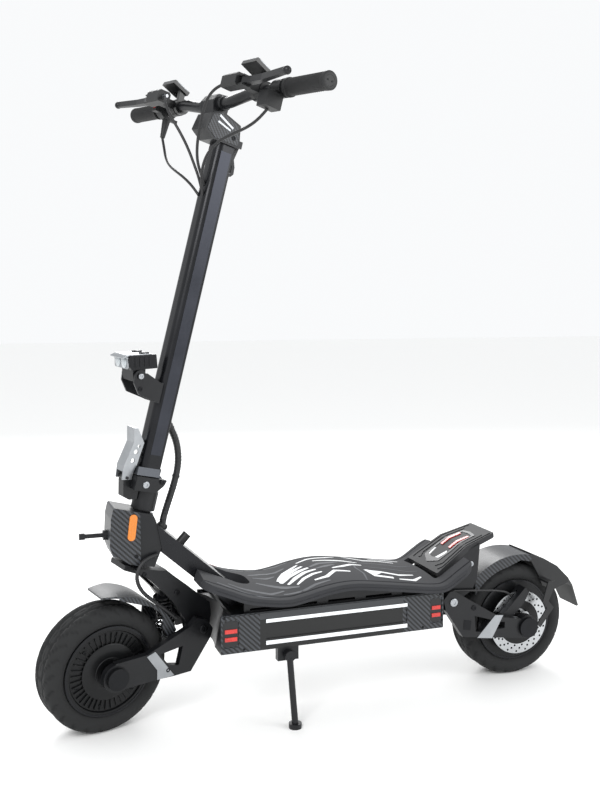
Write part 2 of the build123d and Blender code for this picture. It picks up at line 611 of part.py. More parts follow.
def power_button(gap):
    """Red push button on the front of the right control, or its hole with room for its travel."""
    depth = POWER_TRAVEL + gap if gap else 0
    return rod((-75, 207, 1266), (-66 + depth, 207, 1266), 6 + gap)


def lamp_pieces():
    plate = block(-37, STEM_FRONT, -28, 28, 664, 704)
    ear = outline([(-35, 664), (-35, 702), (-72, 716), (-98, 710), (-96, 692), (-80, 672)], 2, -26)
    ear += cross(LAMP_PIVOT, 12, -28, -24)
    pin = cross(LAMP_PIVOT, 4, -31, -24)
    steered("headlight_bracket", plate + ear + mirrored(ear) + pin + mirrored(pin))
    body = outline([(36, 13), (-20, 13), (-26, 34), (-20, 41), (34, 40)], 30, corner=2)
    tongue = outline([(12, -10), (-12, -10), (-14, 16), (14, 16)], 23, corner=1)
    slot = cross((0, 0), 4 + RUNNING_FIT, -40, -20)
    level = Pos(LAMP_PIVOT[0], 0, LAMP_PIVOT[1]) * Rotation(0, -LAMP_LEVEL, 0)
    steered("headlight", level * (body + tongue - slot - mirrored(slot)))


# ---------------------------------------------------------------- front wheel
FRONT_DISC_Y = 44.0
REAR_DISC_Y = -53.0
WHEEL_FRONT = Pos(FRONT_AXLE_A, 0, FRONT_AXLE_S)
WHEEL_REAR = Pos(REAR_AXLE_X, 0, TYRE_RADIUS)


def front_end():
    steered("front_tyre", WHEEL_FRONT * tyre())
    steered("front_hub", placed(WHEEL_FRONT, hub(FRONT_DISC_Y)))
    steered("front_disc", WHEEL_FRONT * brake_disc(FRONT_DISC_Y))
    steered("front_axle", placed(WHEEL_FRONT, axle(FRONT_ARM_OUTER, 37, FRONT_DISC_Y + 3,
                                                   FRONT_ARM_INNER, FRONT_ARM_OUTER + 8)))
    half = (FRONT_ARM_OUTER - FRONT_ARM_INNER) / 2
    arm = outline([(46, 177), (60, 188), (128, 236), (140, 255), (165, 252), (184, 236),
                   (184, 219), (155, 145), (118, 135), (80, 127), (-5, 104), (-20, 158)],
                  half, -(FRONT_ARM_INNER + half))
    arm += cross(FRONT_AXLE, 28, -FRONT_ARM_OUTER, -FRONT_ARM_INNER)
    arm -= outline([(74, 178), (122, 197), (123, 157.5), (100, 157)], 20, -63)
    arm += cross(FRONT_PIVOT, 14, -FRONT_ARM_INNER, -FORK_OUTER - 0.4)
    arm -= cross(FRONT_AXLE, AXLE_RADIUS, -90, -40)
    tie = cross(FRONT_EYE_LOW, 9, -FRONT_ARM_INNER, FRONT_ARM_INNER)
    pin = cross(FRONT_PIVOT, ARM_PIVOT_RADIUS, -FRONT_ARM_OUTER, FRONT_ARM_OUTER)
    steered("front_arms", arm + mirrored(arm) + tie + pin)
    holder = placed(WHEEL_FRONT, caliper(FRONT_DISC_Y, FRONT_DISC_Y - 8, FRONT_ARM_INNER))
    steered("front_caliper", holder)

    keep = outline([(-60, 268), (-30, 275), (50, 266), (76, 248), (84, 201), (135, 235), (60, 330),
                    (-72, 330)], 60)
    taper = plan([(-72, -28), (-20, -FENDER_HALF), (150, -FENDER_HALF), (150, FENDER_HALF),
                  (-20, FENDER_HALF), (-72, 28)], 190, 340)
    fender = fender_shell(FRONT_AXLE) & keep & taper
    fender -= block(64, 150, -28, 28, 190, 276)
    steered("front_fender", fender)
    for name, piece in zip(("front_shock_body", "front_shock_rod", "front_spring"),
                           shock(FRONT_EYE_TOP, FRONT_EYE_LOW)):
        steered(name, piece)


def fender_shell(centre):
    outer = FENDER_RADIUS + FENDER_THICK
    shell = cross(centre, outer, -FENDER_HALF, FENDER_HALF)
    shell -= cross(centre, FENDER_RADIUS, -FENDER_HALF + FENDER_THICK, FENDER_HALF - FENDER_THICK)
    return shell - cross(centre, TYRE_RADIUS + 2, -60, 60)


# ----------------------------------------------------------------- rear wheel
def rear_end():
    parts["rear_tyre"] = group(WHEEL_REAR * tyre())
    parts["rear_hub"] = placed(WHEEL_REAR, hub(REAR_DISC_Y))
    parts["rear_disc"] = group(WHEEL_REAR * brake_disc(REAR_DISC_Y))
    parts["rear_axle"] = placed(WHEEL_REAR, axle(REAR_ARM_OUTER, -REAR_DISC_Y + 3, 37,
                                                 REAR_ARM_INNER, REAR_ARM_OUTER + 7))
    half = (REAR_ARM_OUTER - REAR_ARM_INNER) / 2
    arm = outline(shifted([(267, 227), (278, 228), (316, 204), (391, 158), (476, 142), (487, 113),
                           (456, 103), (300, 124), (258, 186), (252, 210)], REAR_SHIFT), half,
                  -(REAR_ARM_INNER + half))
    arm += cross(REAR_AXLE, 26, -REAR_ARM_OUTER, -REAR_ARM_INNER)
    for window in ([(328, 168), (371, 154), (344, 130), (331.5, 132)],
                   [(386, 148), (404, 146), (404, 132), (376, 131)]):
        arm -= outline(shifted(window, REAR_SHIFT), 20, -81)
    arm += cross(REAR_PIVOT, 14, -REAR_ARM_INNER, -61)
    arm -= cross(REAR_AXLE, AXLE_RADIUS, -120, -60)
    tie = cross(REAR_EYE_LOW, 9, -REAR_ARM_INNER, REAR_ARM_INNER)
    pin = cross(REAR_PIVOT, ARM_PIVOT_RADIUS, -REAR_ARM_OUTER, REAR_ARM_OUTER)
    parts["rear_arms"] = group(arm + mirrored(arm) + tie + pin)
    parts["rear_caliper"] = placed(WHEEL_REAR, caliper(REAR_DISC_Y, REAR_DISC_Y + 11,
                                                       -REAR_ARM_INNER))

    keep = outline(shifted([(356, 176), (384, 184), (396.5, 217), (417, 238), (437, 255),
                            (470, 267.5), (497, 262), (497, 310), (430, 310), (352, 262)],
                           REAR_SHIFT), 60)
    fender = fender_shell(REAR_AXLE) & keep
    parts["rear_fender"] = group(fender)
    ridge = [(497, 280), (530, 266), (565, 246), (596, 216), (613, 195), (637, 141.5)]
    under = [(632, 140), (608, 193), (592, 213), (562, 242), (528, 262), (497, 276)]
    sheet = outline(shifted(ridge + under, REAR_SHIFT), 60)
    sheet &= plan(shifted([(496, -47), (596, -47), (642, -30), (642, 30), (596, 47), (496, 47)],
                          REAR_SHIFT), 100, 300)
    skirt = outline(shifted([(497, 277), (528, 263), (562, 243), (592, 213), (598, 205),
                             (555, 190), (527, 204), (517, 228), (497, 262)], REAR_SHIFT),
                    1.75, -45.25)
    strap = outline(shifted([(485.5, 132), (494, 124), (528, 166), (514, 182), (529, 214),
                             (530, 226), (512, 226), (499, 182), (510, 166)], REAR_SHIFT),
                    1.5, -REAR_ARM_OUTER - 1.5)
    tab = block(514 + REAR_SHIFT, 529 + REAR_SHIFT, -REAR_ARM_OUTER, -47, 220, 224)
    flap = sheet + skirt + mirrored(skirt)
    parts["mudflap"] = group(flap, strap + tab, mirrored(strap + tab))
    for name, piece in zip(("rear_shock_body", "rear_shock_rod", "rear_spring"),
                           shock(REAR_EYE_TOP, REAR_EYE_LOW)):
        parts[name] = group(piece)


# ----------------------------------------------------------------- side stand
def side_stand():
    inner = BOX_HALF - COVER_THICK
    y0 = -inner - 20
    y1 = -inner - 6.5
    x, z = STAND_PIVOT
    eye = cross(STAND_PIVOT, 11, y0, y1)
    leg = rod((x, y0 + 6, z), (x + 3.4, -132, 6), 6.5)
    foot = Pos(x + 3.4, -132, 5) * Cylinder(13, 10)
    parts["side_stand"] = group(eye + leg + foot - cross(STAND_PIVOT, 5 + RUNNING_FIT, -150, -80))


# --------------------------------------------------------------------- cables
def world(a, y, s):
    """Place of a steered point in the scooter's own frame."""
    spot = STEERED * Location((a, y, s))
    return tuple(spot.position)


def cables():
    upper = [(9.5, 3, 634), (25, 5, 617), (44, 6, 595), (57, 6, 566), (61.5, 5, 539),
             (61.5, 5, 521)]
    steered("harness_upper", cord("harness_upper", upper, HARNESS_RADIUS))
    lower = [world(61.5, 5, 520), world(60.5, 5, 497), world(57, 4, 470), world(53, 2, 440),
             (-332.0 + FRONT_SHIFT, 14.0, 402.5)]
    spiral = cord("harness_lower", lower, HARNESS_RADIUS)
    motor = [(27, -53.5, 374), (8, -50, 366), (-9, -52.5, 345), (-8, -52.5, 320), (12, -52, 296),
             (44, -52, 279), (74, -52, 264), (104, -52, 247)]
    motor = cord("motor_cable", [world(*point) for point in motor], 3.4)
    parts["lower_harness"] = group(spiral, motor)

    left = [(-98, -120, 1266), (-104, -104, 1262), (-110, -86, 1246), (-104, -64, 1222),
            (-92, -44, 1196), (-80, -26, 1166), (-64, -12, 1138), (-45, -6, 1116),
            (-33, -5, 1100)]
    right = [(-98, 120, 1266), (-105, 102, 1260), (-110, 82, 1242), (-102, 60, 1216),
             (-84, 42, 1190), (-66, 28, 1162), (-52, 16, 1134), (-41, 7, 1112), (-33, 5, 1096)]
    thumb = [(-38, 207, 1207), (-34, 198, 1188), (-36, 178, 1166), (-42, 148, 1148),
             (-50, 112, 1134), (-54, 76, 1122), (-50, 42, 1108), (-41, 18, 1092), (-33, 8, 1080)]
    switch = [(-60, -212, 1224), (-62, -198, 1208), (-66, -172, 1192), (-72, -136, 1180),
              (-78, -98, 1166), (-74, -62, 1146), (-62, -34, 1122), (-46, -16, 1098),
              (-33, -8, 1080)]
    runs = [cord("hose_left", left, HOSE_RADIUS), cord("hose_right", right, HOSE_RADIUS),
            cord("wire_throttle", thumb, HOSE_RADIUS), cord("wire_switch", switch, HOSE_RADIUS)]
    steered("control_hoses", *runs)
    brake = [(BOX_REAR + 2, -66, 212), (BOX_REAR + 26, -66, 221), (BOX_REAR + 62, -66, 219),
             (BOX_REAR + 104, -65, 215), (BOX_REAR + 144, -64, 211), (BOX_REAR + 176, -62, 204),
             (BOX_REAR + 192, -60, 193)]
    parts["rear_brake_hose"] = group(cord("rear_brake_hose", brake, 2.5))


chassis_pieces()
deck_pieces()
kick_pieces()
head_pieces()
fork_pieces()
stem_pieces()
bar_pieces()
lamp_pieces()
front_end()
rear_end()
side_stand()
cables()

os.makedirs("parts", exist_ok=True)
for name, shape in parts.items():
    export_step(shape, f"parts/{name}.step")
print(len(parts), "nodes")
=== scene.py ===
import json
from math import atan2, cos, pi, radians, sin

import bpy
from mathutils import Matrix, Vector


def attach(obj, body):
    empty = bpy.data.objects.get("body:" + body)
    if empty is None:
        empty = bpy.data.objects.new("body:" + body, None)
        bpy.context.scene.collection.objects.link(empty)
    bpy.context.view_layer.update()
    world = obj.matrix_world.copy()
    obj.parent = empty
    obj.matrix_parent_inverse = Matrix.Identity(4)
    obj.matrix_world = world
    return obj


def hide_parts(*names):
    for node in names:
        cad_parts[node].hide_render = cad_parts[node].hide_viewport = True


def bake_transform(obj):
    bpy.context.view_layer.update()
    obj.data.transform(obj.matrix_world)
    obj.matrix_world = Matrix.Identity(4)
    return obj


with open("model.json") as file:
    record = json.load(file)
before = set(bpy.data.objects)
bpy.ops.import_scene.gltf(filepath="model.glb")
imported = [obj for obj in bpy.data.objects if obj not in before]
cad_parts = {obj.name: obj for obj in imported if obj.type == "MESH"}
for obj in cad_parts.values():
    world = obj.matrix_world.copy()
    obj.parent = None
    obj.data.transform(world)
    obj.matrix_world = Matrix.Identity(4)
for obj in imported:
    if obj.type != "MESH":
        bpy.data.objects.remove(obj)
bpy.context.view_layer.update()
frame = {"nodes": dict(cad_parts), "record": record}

nodes = frame["nodes"]
MM = 0.001

# Column frame of the steered parts, the same as in the CAD model: a runs backwards from
# the steering axis, y to the right and s up along the axis from the floor.
RAKE = radians(14.0)
STEER_REST = radians(17.3)
STEER_X = -484.5 * MM
COLUMN = Matrix.Translation((STEER_X, 0, 0)) @ Matrix.Rotation(RAKE, 4, "Y")
STEERED = COLUMN @ Matrix.Rotation(STEER_REST, 4, "Z")
TYRE_RADIUS = 127.5
FRONT_AXLE = (-9.5, 0.0, 129.839)
REAR_AXLE = (462.5, 0.0, 127.5)
CHASSIS = Matrix.Identity(4)
LAMP_PIVOT = (-86, 0, 708)
LAMP_LEVEL = radians(16.0)
DISPLAY_TILT = radians(20.0)
DISPLAY_FROM_MIDDLE = 158
DISPLAY_HEIGHT = 1301
BAR_STRAIGHT = 115
BAR_HALF = 347.6
BOLTS_ROUND = 6
BOLT_PROUD = 1.3
SIDES = ((-1, "left"), (1, "right"))


# ------------------------------------------------------------------ camera, light
def camera():
    """Three-quarter view from the front left, a little above the deck."""
    azimuth, elevation, distance = radians(-19.704), radians(5.206), 1.9985
    target = Vector((-42.7, 0, 658.7)) * MM
    back = Vector((sin(azimuth) * cos(elevation), -cos(azimuth) * cos(elevation), sin(elevation)))
    data = bpy.data.cameras.new("camera")
    data.lens = 43.98
    eye = bpy.data.objects.new("camera", data)
    eye.location = target + back * distance
    eye.rotation_mode = "QUATERNION"
    eye.rotation_quaternion = back.to_track_quat("Z", "Y")
    bpy.context.scene.collection.objects.link(eye)
    bpy.context.scene.camera = eye


def softbox(name, place, aim, size, power):
    data = bpy.data.lights.new(name, "AREA")
    data.size = size
    data.energy = power
    lamp = bpy.data.objects.new(name, data)
    lamp.location = place
    lamp.rotation_mode = "QUATERNION"
    lamp.rotation_quaternion = (Vector(place) - Vector(aim)).to_track_quat("Z", "Y")
    bpy.context.scene.collection.objects.link(lamp)


def studio():
    world = bpy.data.worlds.new("studio")
    bpy.context.scene.world = world
    world.use_nodes = True
    bpy.context.scene.view_settings.view_transform = "Standard"
    sky = world.node_tree.nodes["Background"]
    sky.inputs["Color"].default_value = (0.95, 0.96, 0.97, 1)
    sky.inputs["Strength"].default_value = 1.0
    softbox("key", (-2.2, -2.6, 2.8), (0, 0, 0.4), 1.6, 75)
    softbox("fill", (2.6, -2.2, 1.6), (0, 0, 0.4), 1.6, 35)
    softbox("rim", (0.6, 2.8, 2.4), (0, 0, 0.5), 1.8, 70)
    bpy.ops.mesh.primitive_plane_add(size=40, location=(0, 0, 0))
    floor = bpy.context.object
    floor.name = "floor"
    floor.data.materials.append(plain("floor_paper", "#FBFBFA", 0.9))


# ---------------------------------------------------------------------- materials
def linear(colour):
    """sRGB hex to the linear colour that a shader takes."""
    values = [int(colour[i:i + 2], 16) / 255 for i in (1, 3, 5)]
    flat = [v / 12.92 if v <= 0.04045 else ((v + 0.055) / 1.055) ** 2.4 for v in values]
    return (*flat, 1)


def add(tree, kind, inputs=None, **settings):
    made = tree.nodes.new("ShaderNode" + kind)
    for key, value in settings.items():
        setattr(made, key, value)
    for key, value in (inputs or {}).items():
        if isinstance(value, bpy.types.NodeSocket):
            tree.links.new(value, made.inputs[key])
        else:
            made.inputs[key].default_value = value
    return made


def start(name, rough, metallic=0.0, ior=1.5, coat=0.0):
    made = bpy.data.materials.new(name)
    made.use_nodes = True
    tree = made.node_tree
    shader = tree.nodes["Principled BSDF"]
    shader.inputs["Roughness"].default_value = rough
    shader.inputs["Metallic"].default_value = metallic
    shader.inputs["IOR"].default_value = ior
    shader.inputs["Coat Weight"].default_value = coat
    shader.inputs["Coat Roughness"].default_value = 0.2
    place = add(tree, "TexCoord").outputs["Object"]
    return made, tree, shader, place


def coloured(tree, shader, share, dark, light):
    """Gives the shader a colour between two, by share."""
    mix = add(tree, "Mix", {"Factor": share, "A": linear(dark), "B": linear(light)},
              data_type="RGBA")
    tree.links.new(mix.outputs["Result"], shader.inputs["Base Color"])


def embossed(tree, shader, height, strength, depth_mm):
    bump = add(tree, "Bump", {"Height": height, "Strength": strength,
                              "Distance": depth_mm * MM})
    tree.links.new(bump.outputs["Normal"], shader.inputs["Normal"])


def glowing(shader, colour, strength):
    if strength:
        shader.inputs["Emission Color"].default_value = linear(colour)
        shader.inputs["Emission Strength"].default_value = strength


def plain(name, colour, rough):
    made, _, shader, _ = start(name, rough)
    shader.inputs["Base Color"].default_value = linear(colour)
    return made


def grained(name, dark, light, rough, metallic=0.0, grain_mm=0.6, depth_mm=0.02, coat=0.0,
            patch_mm=40.0, emission=0.0):
    """A finish with a fine surface grain, slow colour patches and uneven polish."""
    made, tree, shader, place = start(name, rough, metallic, coat=coat)
    patches = add(tree, "TexNoise", {"Vector": place, "Scale": 1000 / patch_mm, "Detail": 3.0})
    coloured(tree, shader, patches.outputs["Fac"], dark, light)
    polish = add(tree, "MapRange", {"Value": patches.outputs["Fac"], "To Min": rough - 0.06,
                                    "To Max": rough + 0.08})
    tree.links.new(polish.outputs["Result"], shader.inputs["Roughness"])
    grain = add(tree, "TexNoise", {"Vector": place, "Scale": 1000 / grain_mm, "Detail": 2.0})
    embossed(tree, shader, grain.outputs["Fac"], 0.5, depth_mm)
    glowing(shader, light, emission)
    return made


def weave(tree, place, tow_mm=2.6):
    """Twill of flat carbon tows: 1 on the tows that lie over, 0 on those under. The tows are
    drawn a little wider than 2 mm so that the diagonal ribs still show from two metres."""
    split = add(tree, "SeparateXYZ", {"Vector": place})
    rows = []
    for axis in ("X", "Z"):
        slant = add(tree, "Math", {0: split.outputs[axis], 1: split.outputs["Y"]},
                    operation="ADD")
        step = add(tree, "Math", {0: slant.outputs[0], 1: 1000 / tow_mm}, operation="MULTIPLY")
        rows.append(add(tree, "Math", {0: step.outputs[0]}, operation="FLOOR"))
    total = add(tree, "Math", {0: rows[0].outputs[0], 1: rows[1].outputs[0]}, operation="ADD")
    cycle = add(tree, "Math", {0: total.outputs[0], 1: 4.0}, operation="FLOORED_MODULO")
    return add(tree, "Math", {0: cycle.outputs[0], 1: 2.0}, operation="LESS_THAN")


def carbon(name, dark="#08090A", light="#3A3D42", band=False):
    """Carbon-weave print under gloss lacquer: dark, with fine diagonal ribs that catch light.
    With band, the middle of the side cover is smooth: grey bevel on top, black panel below."""
    made, tree, shader, place = start(name, 0.42, 0.0, ior=1.45, coat=0.1)
    over = weave(tree, place)
    colour = add(tree, "Mix", {"Factor": over.outputs[0], "A": linear(dark),
                               "B": linear(light)}, data_type="RGBA").outputs["Result"]
    if band:
        split = add(tree, "SeparateXYZ", {"Vector": place})
        upper = add(tree, "Math", {0: split.outputs["Z"], 1: 217.5 * MM},
                    operation="GREATER_THAN")
        smooth = add(tree, "Mix", {"Factor": upper.outputs[0], "A": linear("#0D0E0F"),
                                   "B": linear("#333538")}, data_type="RGBA")
        centre = add(tree, "Math", {0: split.outputs["X"], 1: -5.5 * MM}, operation="SUBTRACT")
        far = add(tree, "Math", {0: centre.outputs[0]}, operation="ABSOLUTE")
        ends = add(tree, "Math", {0: far.outputs[0], 1: 157 * MM}, operation="GREATER_THAN")
        colour = add(tree, "Mix", {"Factor": ends.outputs[0], "A": smooth.outputs["Result"],
                                   "B": colour}, data_type="RGBA").outputs["Result"]
    tree.links.new(colour, shader.inputs["Base Color"])
    embossed(tree, shader, over.outputs[0], 0.25, 0.1)
    return made


def brushed(name, dark, light, rough):
    """Ground steel: fine streaks that stretch the highlights."""
    made, tree, shader, place = start(name, rough, 1.0)
    shader.inputs["Anisotropic"].default_value = 0.4
    spread = add(tree, "Mapping", {"Vector": place, "Scale": (900, 60, 900)})
    streaks = add(tree, "TexNoise", {"Vector": spread.outputs["Vector"], "Scale": 1.0,
                                     "Detail": 4.0})
    coloured(tree, shader, streaks.outputs["Fac"], dark, light)
    embossed(tree, shader, streaks.outputs["Fac"], 0.2, 0.02)
    return made


def moulded_rubber(name, dark, light, cell_mm, depth_mm, rough=0.8):
    """Moulded rubber with a fine pebbled grain."""
    made, tree, shader, place = start(name, rough)
    cells = add(tree, "TexVoronoi", {"Vector": place, "Scale": 1000 / cell_mm})
    dust = add(tree, "TexNoise", {"Vector": place, "Scale": 18.0, "Detail": 5.0})
    coloured(tree, shader, dust.outputs["Fac"], dark, light)
    embossed(tree, shader, cells.outputs["Distance"], 0.5, depth_mm)
    return made


def faceted(name, colour, cell_mm):
    """Clear moulded lens with small prisms behind its face."""
    made, tree, shader, place = start(name, 0.12, ior=1.49, coat=0.6)
    prisms = add(tree, "TexVoronoi", {"Vector": place, "Scale": 1000 / cell_mm,
                                      "Randomness": 0.0}, distance="CHEBYCHEV")
    shade = add(tree, "MapRange", {"Value": prisms.outputs["Distance"], "To Min": 0.55,
                                   "To Max": 1.0})
    coloured(tree, shader, shade.outputs["Result"], "#000000", colour)
    embossed(tree, shader, prisms.outputs["Distance"], 0.4, 0.4)
    return made


finish = {
    # anodised aluminium, bead blasted: near black, soft broad highlights
    "black_alloy": grained("anodised_aluminium_black", "#121315", "#1C1D20", 0.36, 0.35),
    # anodised aluminium tube, drawn and polished: a clearer highlight along it
    "satin_alloy": grained("anodised_aluminium_tube", "#121316", "#1D1E22", 0.26, 0.5,
                           grain_mm=0.4, depth_mm=0.01),
    # brushed inlay along the stem's side, glossier than the tube: its lighter grey is partly its
    # own colour and partly painted reflection of the bright surroundings
    "inlay_alloy": grained("anodised_inlay_grey_painted_reflection", "#2E3036", "#3C3E45", 0.3, 0.8,
                           grain_mm=0.4, depth_mm=0.01),
    "cover_print": carbon("carbon_print_cover", band=True),
    "carbon_print": carbon("carbon_print"),
    "strip_lens": grained("polycarbonate_diffuser", "#DFE3E6", "#F4F6F8", 0.35, emission=0.1),
    "red_lens": grained("polycarbonate_red", "#8E1712", "#D8322A", 0.25, coat=0.3,
                        emission=0.05),
    "cell_wrap": plain("heat_shrink_blue", "#24477A", 0.45),
    "deck_rubber": moulded_rubber("deck_rubber", "#202124", "#2B2C30", 1.2, 0.12),
    "kick_plastic": moulded_rubber("kick_plate_nylon", "#151618", "#1E1F22", 0.9, 0.08, 0.62),
    "bearing_steel": brushed("bearing_steel", "#8F9296", "#B9BCC0", 0.3),
    "amber_lens": faceted("acrylic_amber", "#F08A10", 3.0),
    "black_plastic": grained("nylon_black", "#0D0E0F", "#161719", 0.5, grain_mm=0.8,
                             depth_mm=0.05),
    "cable_wrap": grained("spiral_wrap_polyethylene", "#141416", "#1C1D1F", 0.42),
    "satin_silver": grained("satin_aluminium", "#8A8D91", "#B2B5B8", 0.34, 0.9, grain_mm=0.5),
    "collar_grey": grained("painted_collar_grey", "#2E3034", "#45484D", 0.3, 0.7),
    "grip_rubber": moulded_rubber("grip_rubber", "#101112", "#1A1A1C", 0.7, 0.05, 0.72),
    "screen": grained("acrylic_screen", "#050607", "#0A0B0D", 0.3, coat=0.1, depth_mm=0.002),
    "hose_black": grained("hose_rubber", "#121214", "#1A1A1C", 0.45),
    "button_grey": grained("button_grey_abs", "#515356", "#606266", 0.5),
    "button_red": grained("button_red_abs", "#A01610", "#C4241C", 0.35),
    "lamp_housing": grained("lamp_housing_aluminium", "#131416", "#1E1F22", 0.35, 0.6),
    "axle_steel": grained("blackened_steel", "#131416", "#202124", 0.4, 0.7),
    "tyre": moulded_rubber("tyre_rubber", "#0F1011", "#1A1B1C", 1.6, 0.08, 0.82),
    "motor_black": grained("cast_motor_cover_black", "#0C0D0E", "#161719", 0.36, 0.45,
                           grain_mm=1.0, depth_mm=0.04),
    "disc_steel": brushed("disc_stainless_steel", "#9A9DA0", "#D2D4D6", 0.26),
    "spring_black": grained("spring_powder_coat", "#141416", "#1D1D20", 0.35),
    "rod_chrome": brushed("chromed_rod", "#B8BABD", "#DADCDD", 0.12),
    "white_print": grained("screen_print_white", "#D9DBDC", "#F0F1F2", 0.6, grain_mm=1.0,
                           depth_mm=0.05),
    "grey_print": grained("screen_print_grey", "#3A3C40", "#4C4E53", 0.65, grain_mm=1.0,
                          depth_mm=0.05),
    "red_print": grained("screen_print_red", "#8F1B17", "#B5302A", 0.6),
    "clear_lens": faceted("polycarbonate_lamp_lens", "#C9D0D4", 6.0),
}
# slots that finishes without a record entry of their own take theirs from
slot_of = {part["node"]: part["material_slot"] for part in frame["record"]["subparts"]}


def dress_cad_nodes():
    for name, cad in nodes.items():
        kind = "cover_print" if name == "side_covers" else slot_of[name]
        cad.data.materials.clear()
        cad.data.materials.append(finish[kind])


# ------------------------------------------------------------------ making pieces
def select_only(piece):
    bpy.ops.object.select_all(action="DESELECT")
    piece.select_set(True)
    bpy.context.view_layer.objects.active = piece


def apply_modifiers(piece):
    select_only(piece)
    for modifier in list(piece.modifiers):
        bpy.ops.object.modifier_apply(modifier=modifier.name)


def smooth(piece, angle=35):
    select_only(piece)
    bpy.ops.object.shade_smooth_by_angle(angle=radians(angle))


def pick(piece, test):
    """Goes to edit mode with just the vertices selected whose place, in mm, passes the test."""
    if piece.mode == "EDIT":
        bpy.ops.object.mode_set(mode="OBJECT")
    select_only(piece)
    mesh = piece.data
    mesh.polygons.foreach_set("select", [False] * len(mesh.polygons))
    mesh.edges.foreach_set("select", [False] * len(mesh.edges))
    mesh.vertices.foreach_set("select", [test(vertex.co / MM) for vertex in mesh.vertices])
    bpy.ops.object.mode_set(mode="EDIT")


def closed_up():
    """Merges doubles and turns all faces outwards, then leaves edit mode."""
    bpy.ops.mesh.select_all(action="SELECT")
    bpy.ops.mesh.remove_doubles(threshold=1e-6)
    bpy.ops.mesh.delete_loose()
    bpy.ops.mesh.select_all(action="SELECT")
    bpy.ops.mesh.normals_make_consistent(inside=False)
    bpy.ops.object.mode_set(mode="OBJECT")


def fit(piece, name, place, body, kind, stands_for=()):
    """Bakes the place into the mesh, then names, paints and fastens the piece."""
    piece.name = name
    piece.data.name = name
    placed = place @ piece.matrix_world
    piece.data.transform(placed)
    if placed.determinant() < 0:
        piece.data.flip_normals()
    piece.matrix_world = Matrix.Identity(4)
    piece.data.materials.clear()
    piece.data.materials.append(finish[kind])
    if stands_for:
        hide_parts(*stands_for)
    if body:
        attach(piece, body)
    return piece


def copied(master):
    """Another of the same piece, with its own mesh."""
    other = master.copy()
    other.data = master.data.copy()
    bpy.context.scene.collection.objects.link(other)
    return other


def plate(loops, half, bevel=0.3):
    """Flat plate from outlines in mm; holes are further loops. It lies in its own X-Y plane."""
    data = bpy.data.curves.new("plate", "CURVE")
    data.dimensions = "2D"
    data.fill_mode = "BOTH"
    data.extrude = max(half - bevel, 0.01) * MM
    data.bevel_depth = bevel * MM
    data.offset = -bevel * MM
    for loop in loops:
        line = data.splines.new("POLY")
        line.points.add(len(loop) - 1)
        for point, (x, y) in zip(line.points, loop):
            point.co = (x * MM, y * MM, 0, 1)
        line.use_cyclic_u = True
    return meshed(bpy.data.objects.new("plate", data))


def meshed(curve):
    """The curve's own mesh, cleaned up."""
    bpy.context.scene.collection.objects.link(curve)
    select_only(curve)
    bpy.ops.object.convert(target="MESH")
    made = bpy.context.object
    bpy.ops.object.mode_set(mode="EDIT")
    closed_up()
    return made


def chain(points):
    """Closed chain of edges through points in mm, drawn by extruding one vertex."""
    bpy.ops.object.select_all(action="DESELECT")
    bpy.ops.mesh.primitive_plane_add(size=MM)
    piece = bpy.context.object
    bpy.ops.object.mode_set(mode="EDIT")
    bpy.ops.mesh.merge(type="CENTER")
    here = Vector(points[0]) * MM
    bpy.ops.transform.translate(value=here)
    for point in points[1:] + points[:1]:
        step = Vector(point) * MM - here
        bpy.ops.mesh.extrude_vertices_move(TRANSFORM_OT_translate={"value": step})
        here += step
    bpy.ops.mesh.select_all(action="SELECT")
    bpy.ops.mesh.remove_doubles(threshold=1e-6)
    return piece


def turned(profile, steps=48, angle=35):
    """Closed solid of revolution about Z from (radius, height) points in mm."""
    piece = chain([(r, 0, z) for r, z in profile])
    bpy.ops.mesh.spin(steps=steps, angle=2 * pi, center=(0, 0, 0), axis=(0, 0, 1))
    closed_up()
    smooth(piece, angle)
    return piece


def nurbs(points, radius=0.0, order=3):
    """Smooth curve with these control points in mm; a radius makes it a tube."""
    data = bpy.data.curves.new("line", "CURVE")
    data.dimensions = "3D"
    data.resolution_u = 12
    data.bevel_depth = radius * MM
    data.bevel_resolution = 3
    data.use_fill_caps = True
    line = data.splines.new("NURBS")
    line.points.add(len(points) - 1)
    for point, place in zip(line.points, points):
        point.co = (*(value * MM for value in place), 1)
    line.order_u = order
    line.use_endpoint_u = True
    return bpy.data.objects.new("line", data)


def tube(points, radius, order=3):
    made = meshed(nurbs(points, radius, order))
    smooth(made, 60)
    return made


def winding(points, radius, pitch):
    """Turns of a spiral round the smooth line with these control points, all in mm."""
    carrier = nurbs(points)
    bpy.context.scene.collection.objects.link(carrier)
    bpy.context.view_layer.update()
    mesh = bpy.data.meshes.new_from_object(carrier)
    line = [vertex.co / MM for vertex in mesh.vertices]
    bpy.data.objects.remove(carrier)
    side = Vector((0, 1, 0))
    turns = []
    travelled = 0.0
    for start_point, end_point in zip(line, line[1:]):
        along = end_point - start_point
        side = (side - along * (side.dot(along) / along.length_squared)).normalized()
        other = along.normalized().cross(side)
        parts = max(int(along.length / pitch * 8), 1)
        for part in range(parts):
            share = part / parts
            angle = 2 * pi * (travelled + along.length * share) / pitch
            turns.append(start_point + along * share
                         + (side * cos(angle) + other * sin(angle)) * radius)
        travelled += along.length
    return turns


def wrapped(points, radius, wire=1.6, pitch=6.5):
    """Cable bundle in a spiral wrap: a plain core with a flat strip wound round it."""
    core = tube(points, radius - wire)
    strip = nurbs(winding(points, radius - wire, pitch), wire, 4)
    strip.data.resolution_u = 2
    strip.data.bevel_resolution = 1
    strip = meshed(strip)
    smooth(strip, 60)
    select_only(core)
    strip.select_set(True)
    bpy.ops.object.join()
    return core


def along_y(x, y, z, flip=False):
    """Place whose own Z points to -Y (left), or to +Y when flipped, at a point in mm."""
    turn = Matrix.Rotation(-pi / 2 if flip else pi / 2, 4, "X")
    return Matrix.Translation(Vector((x, y, z)) * MM) @ turn


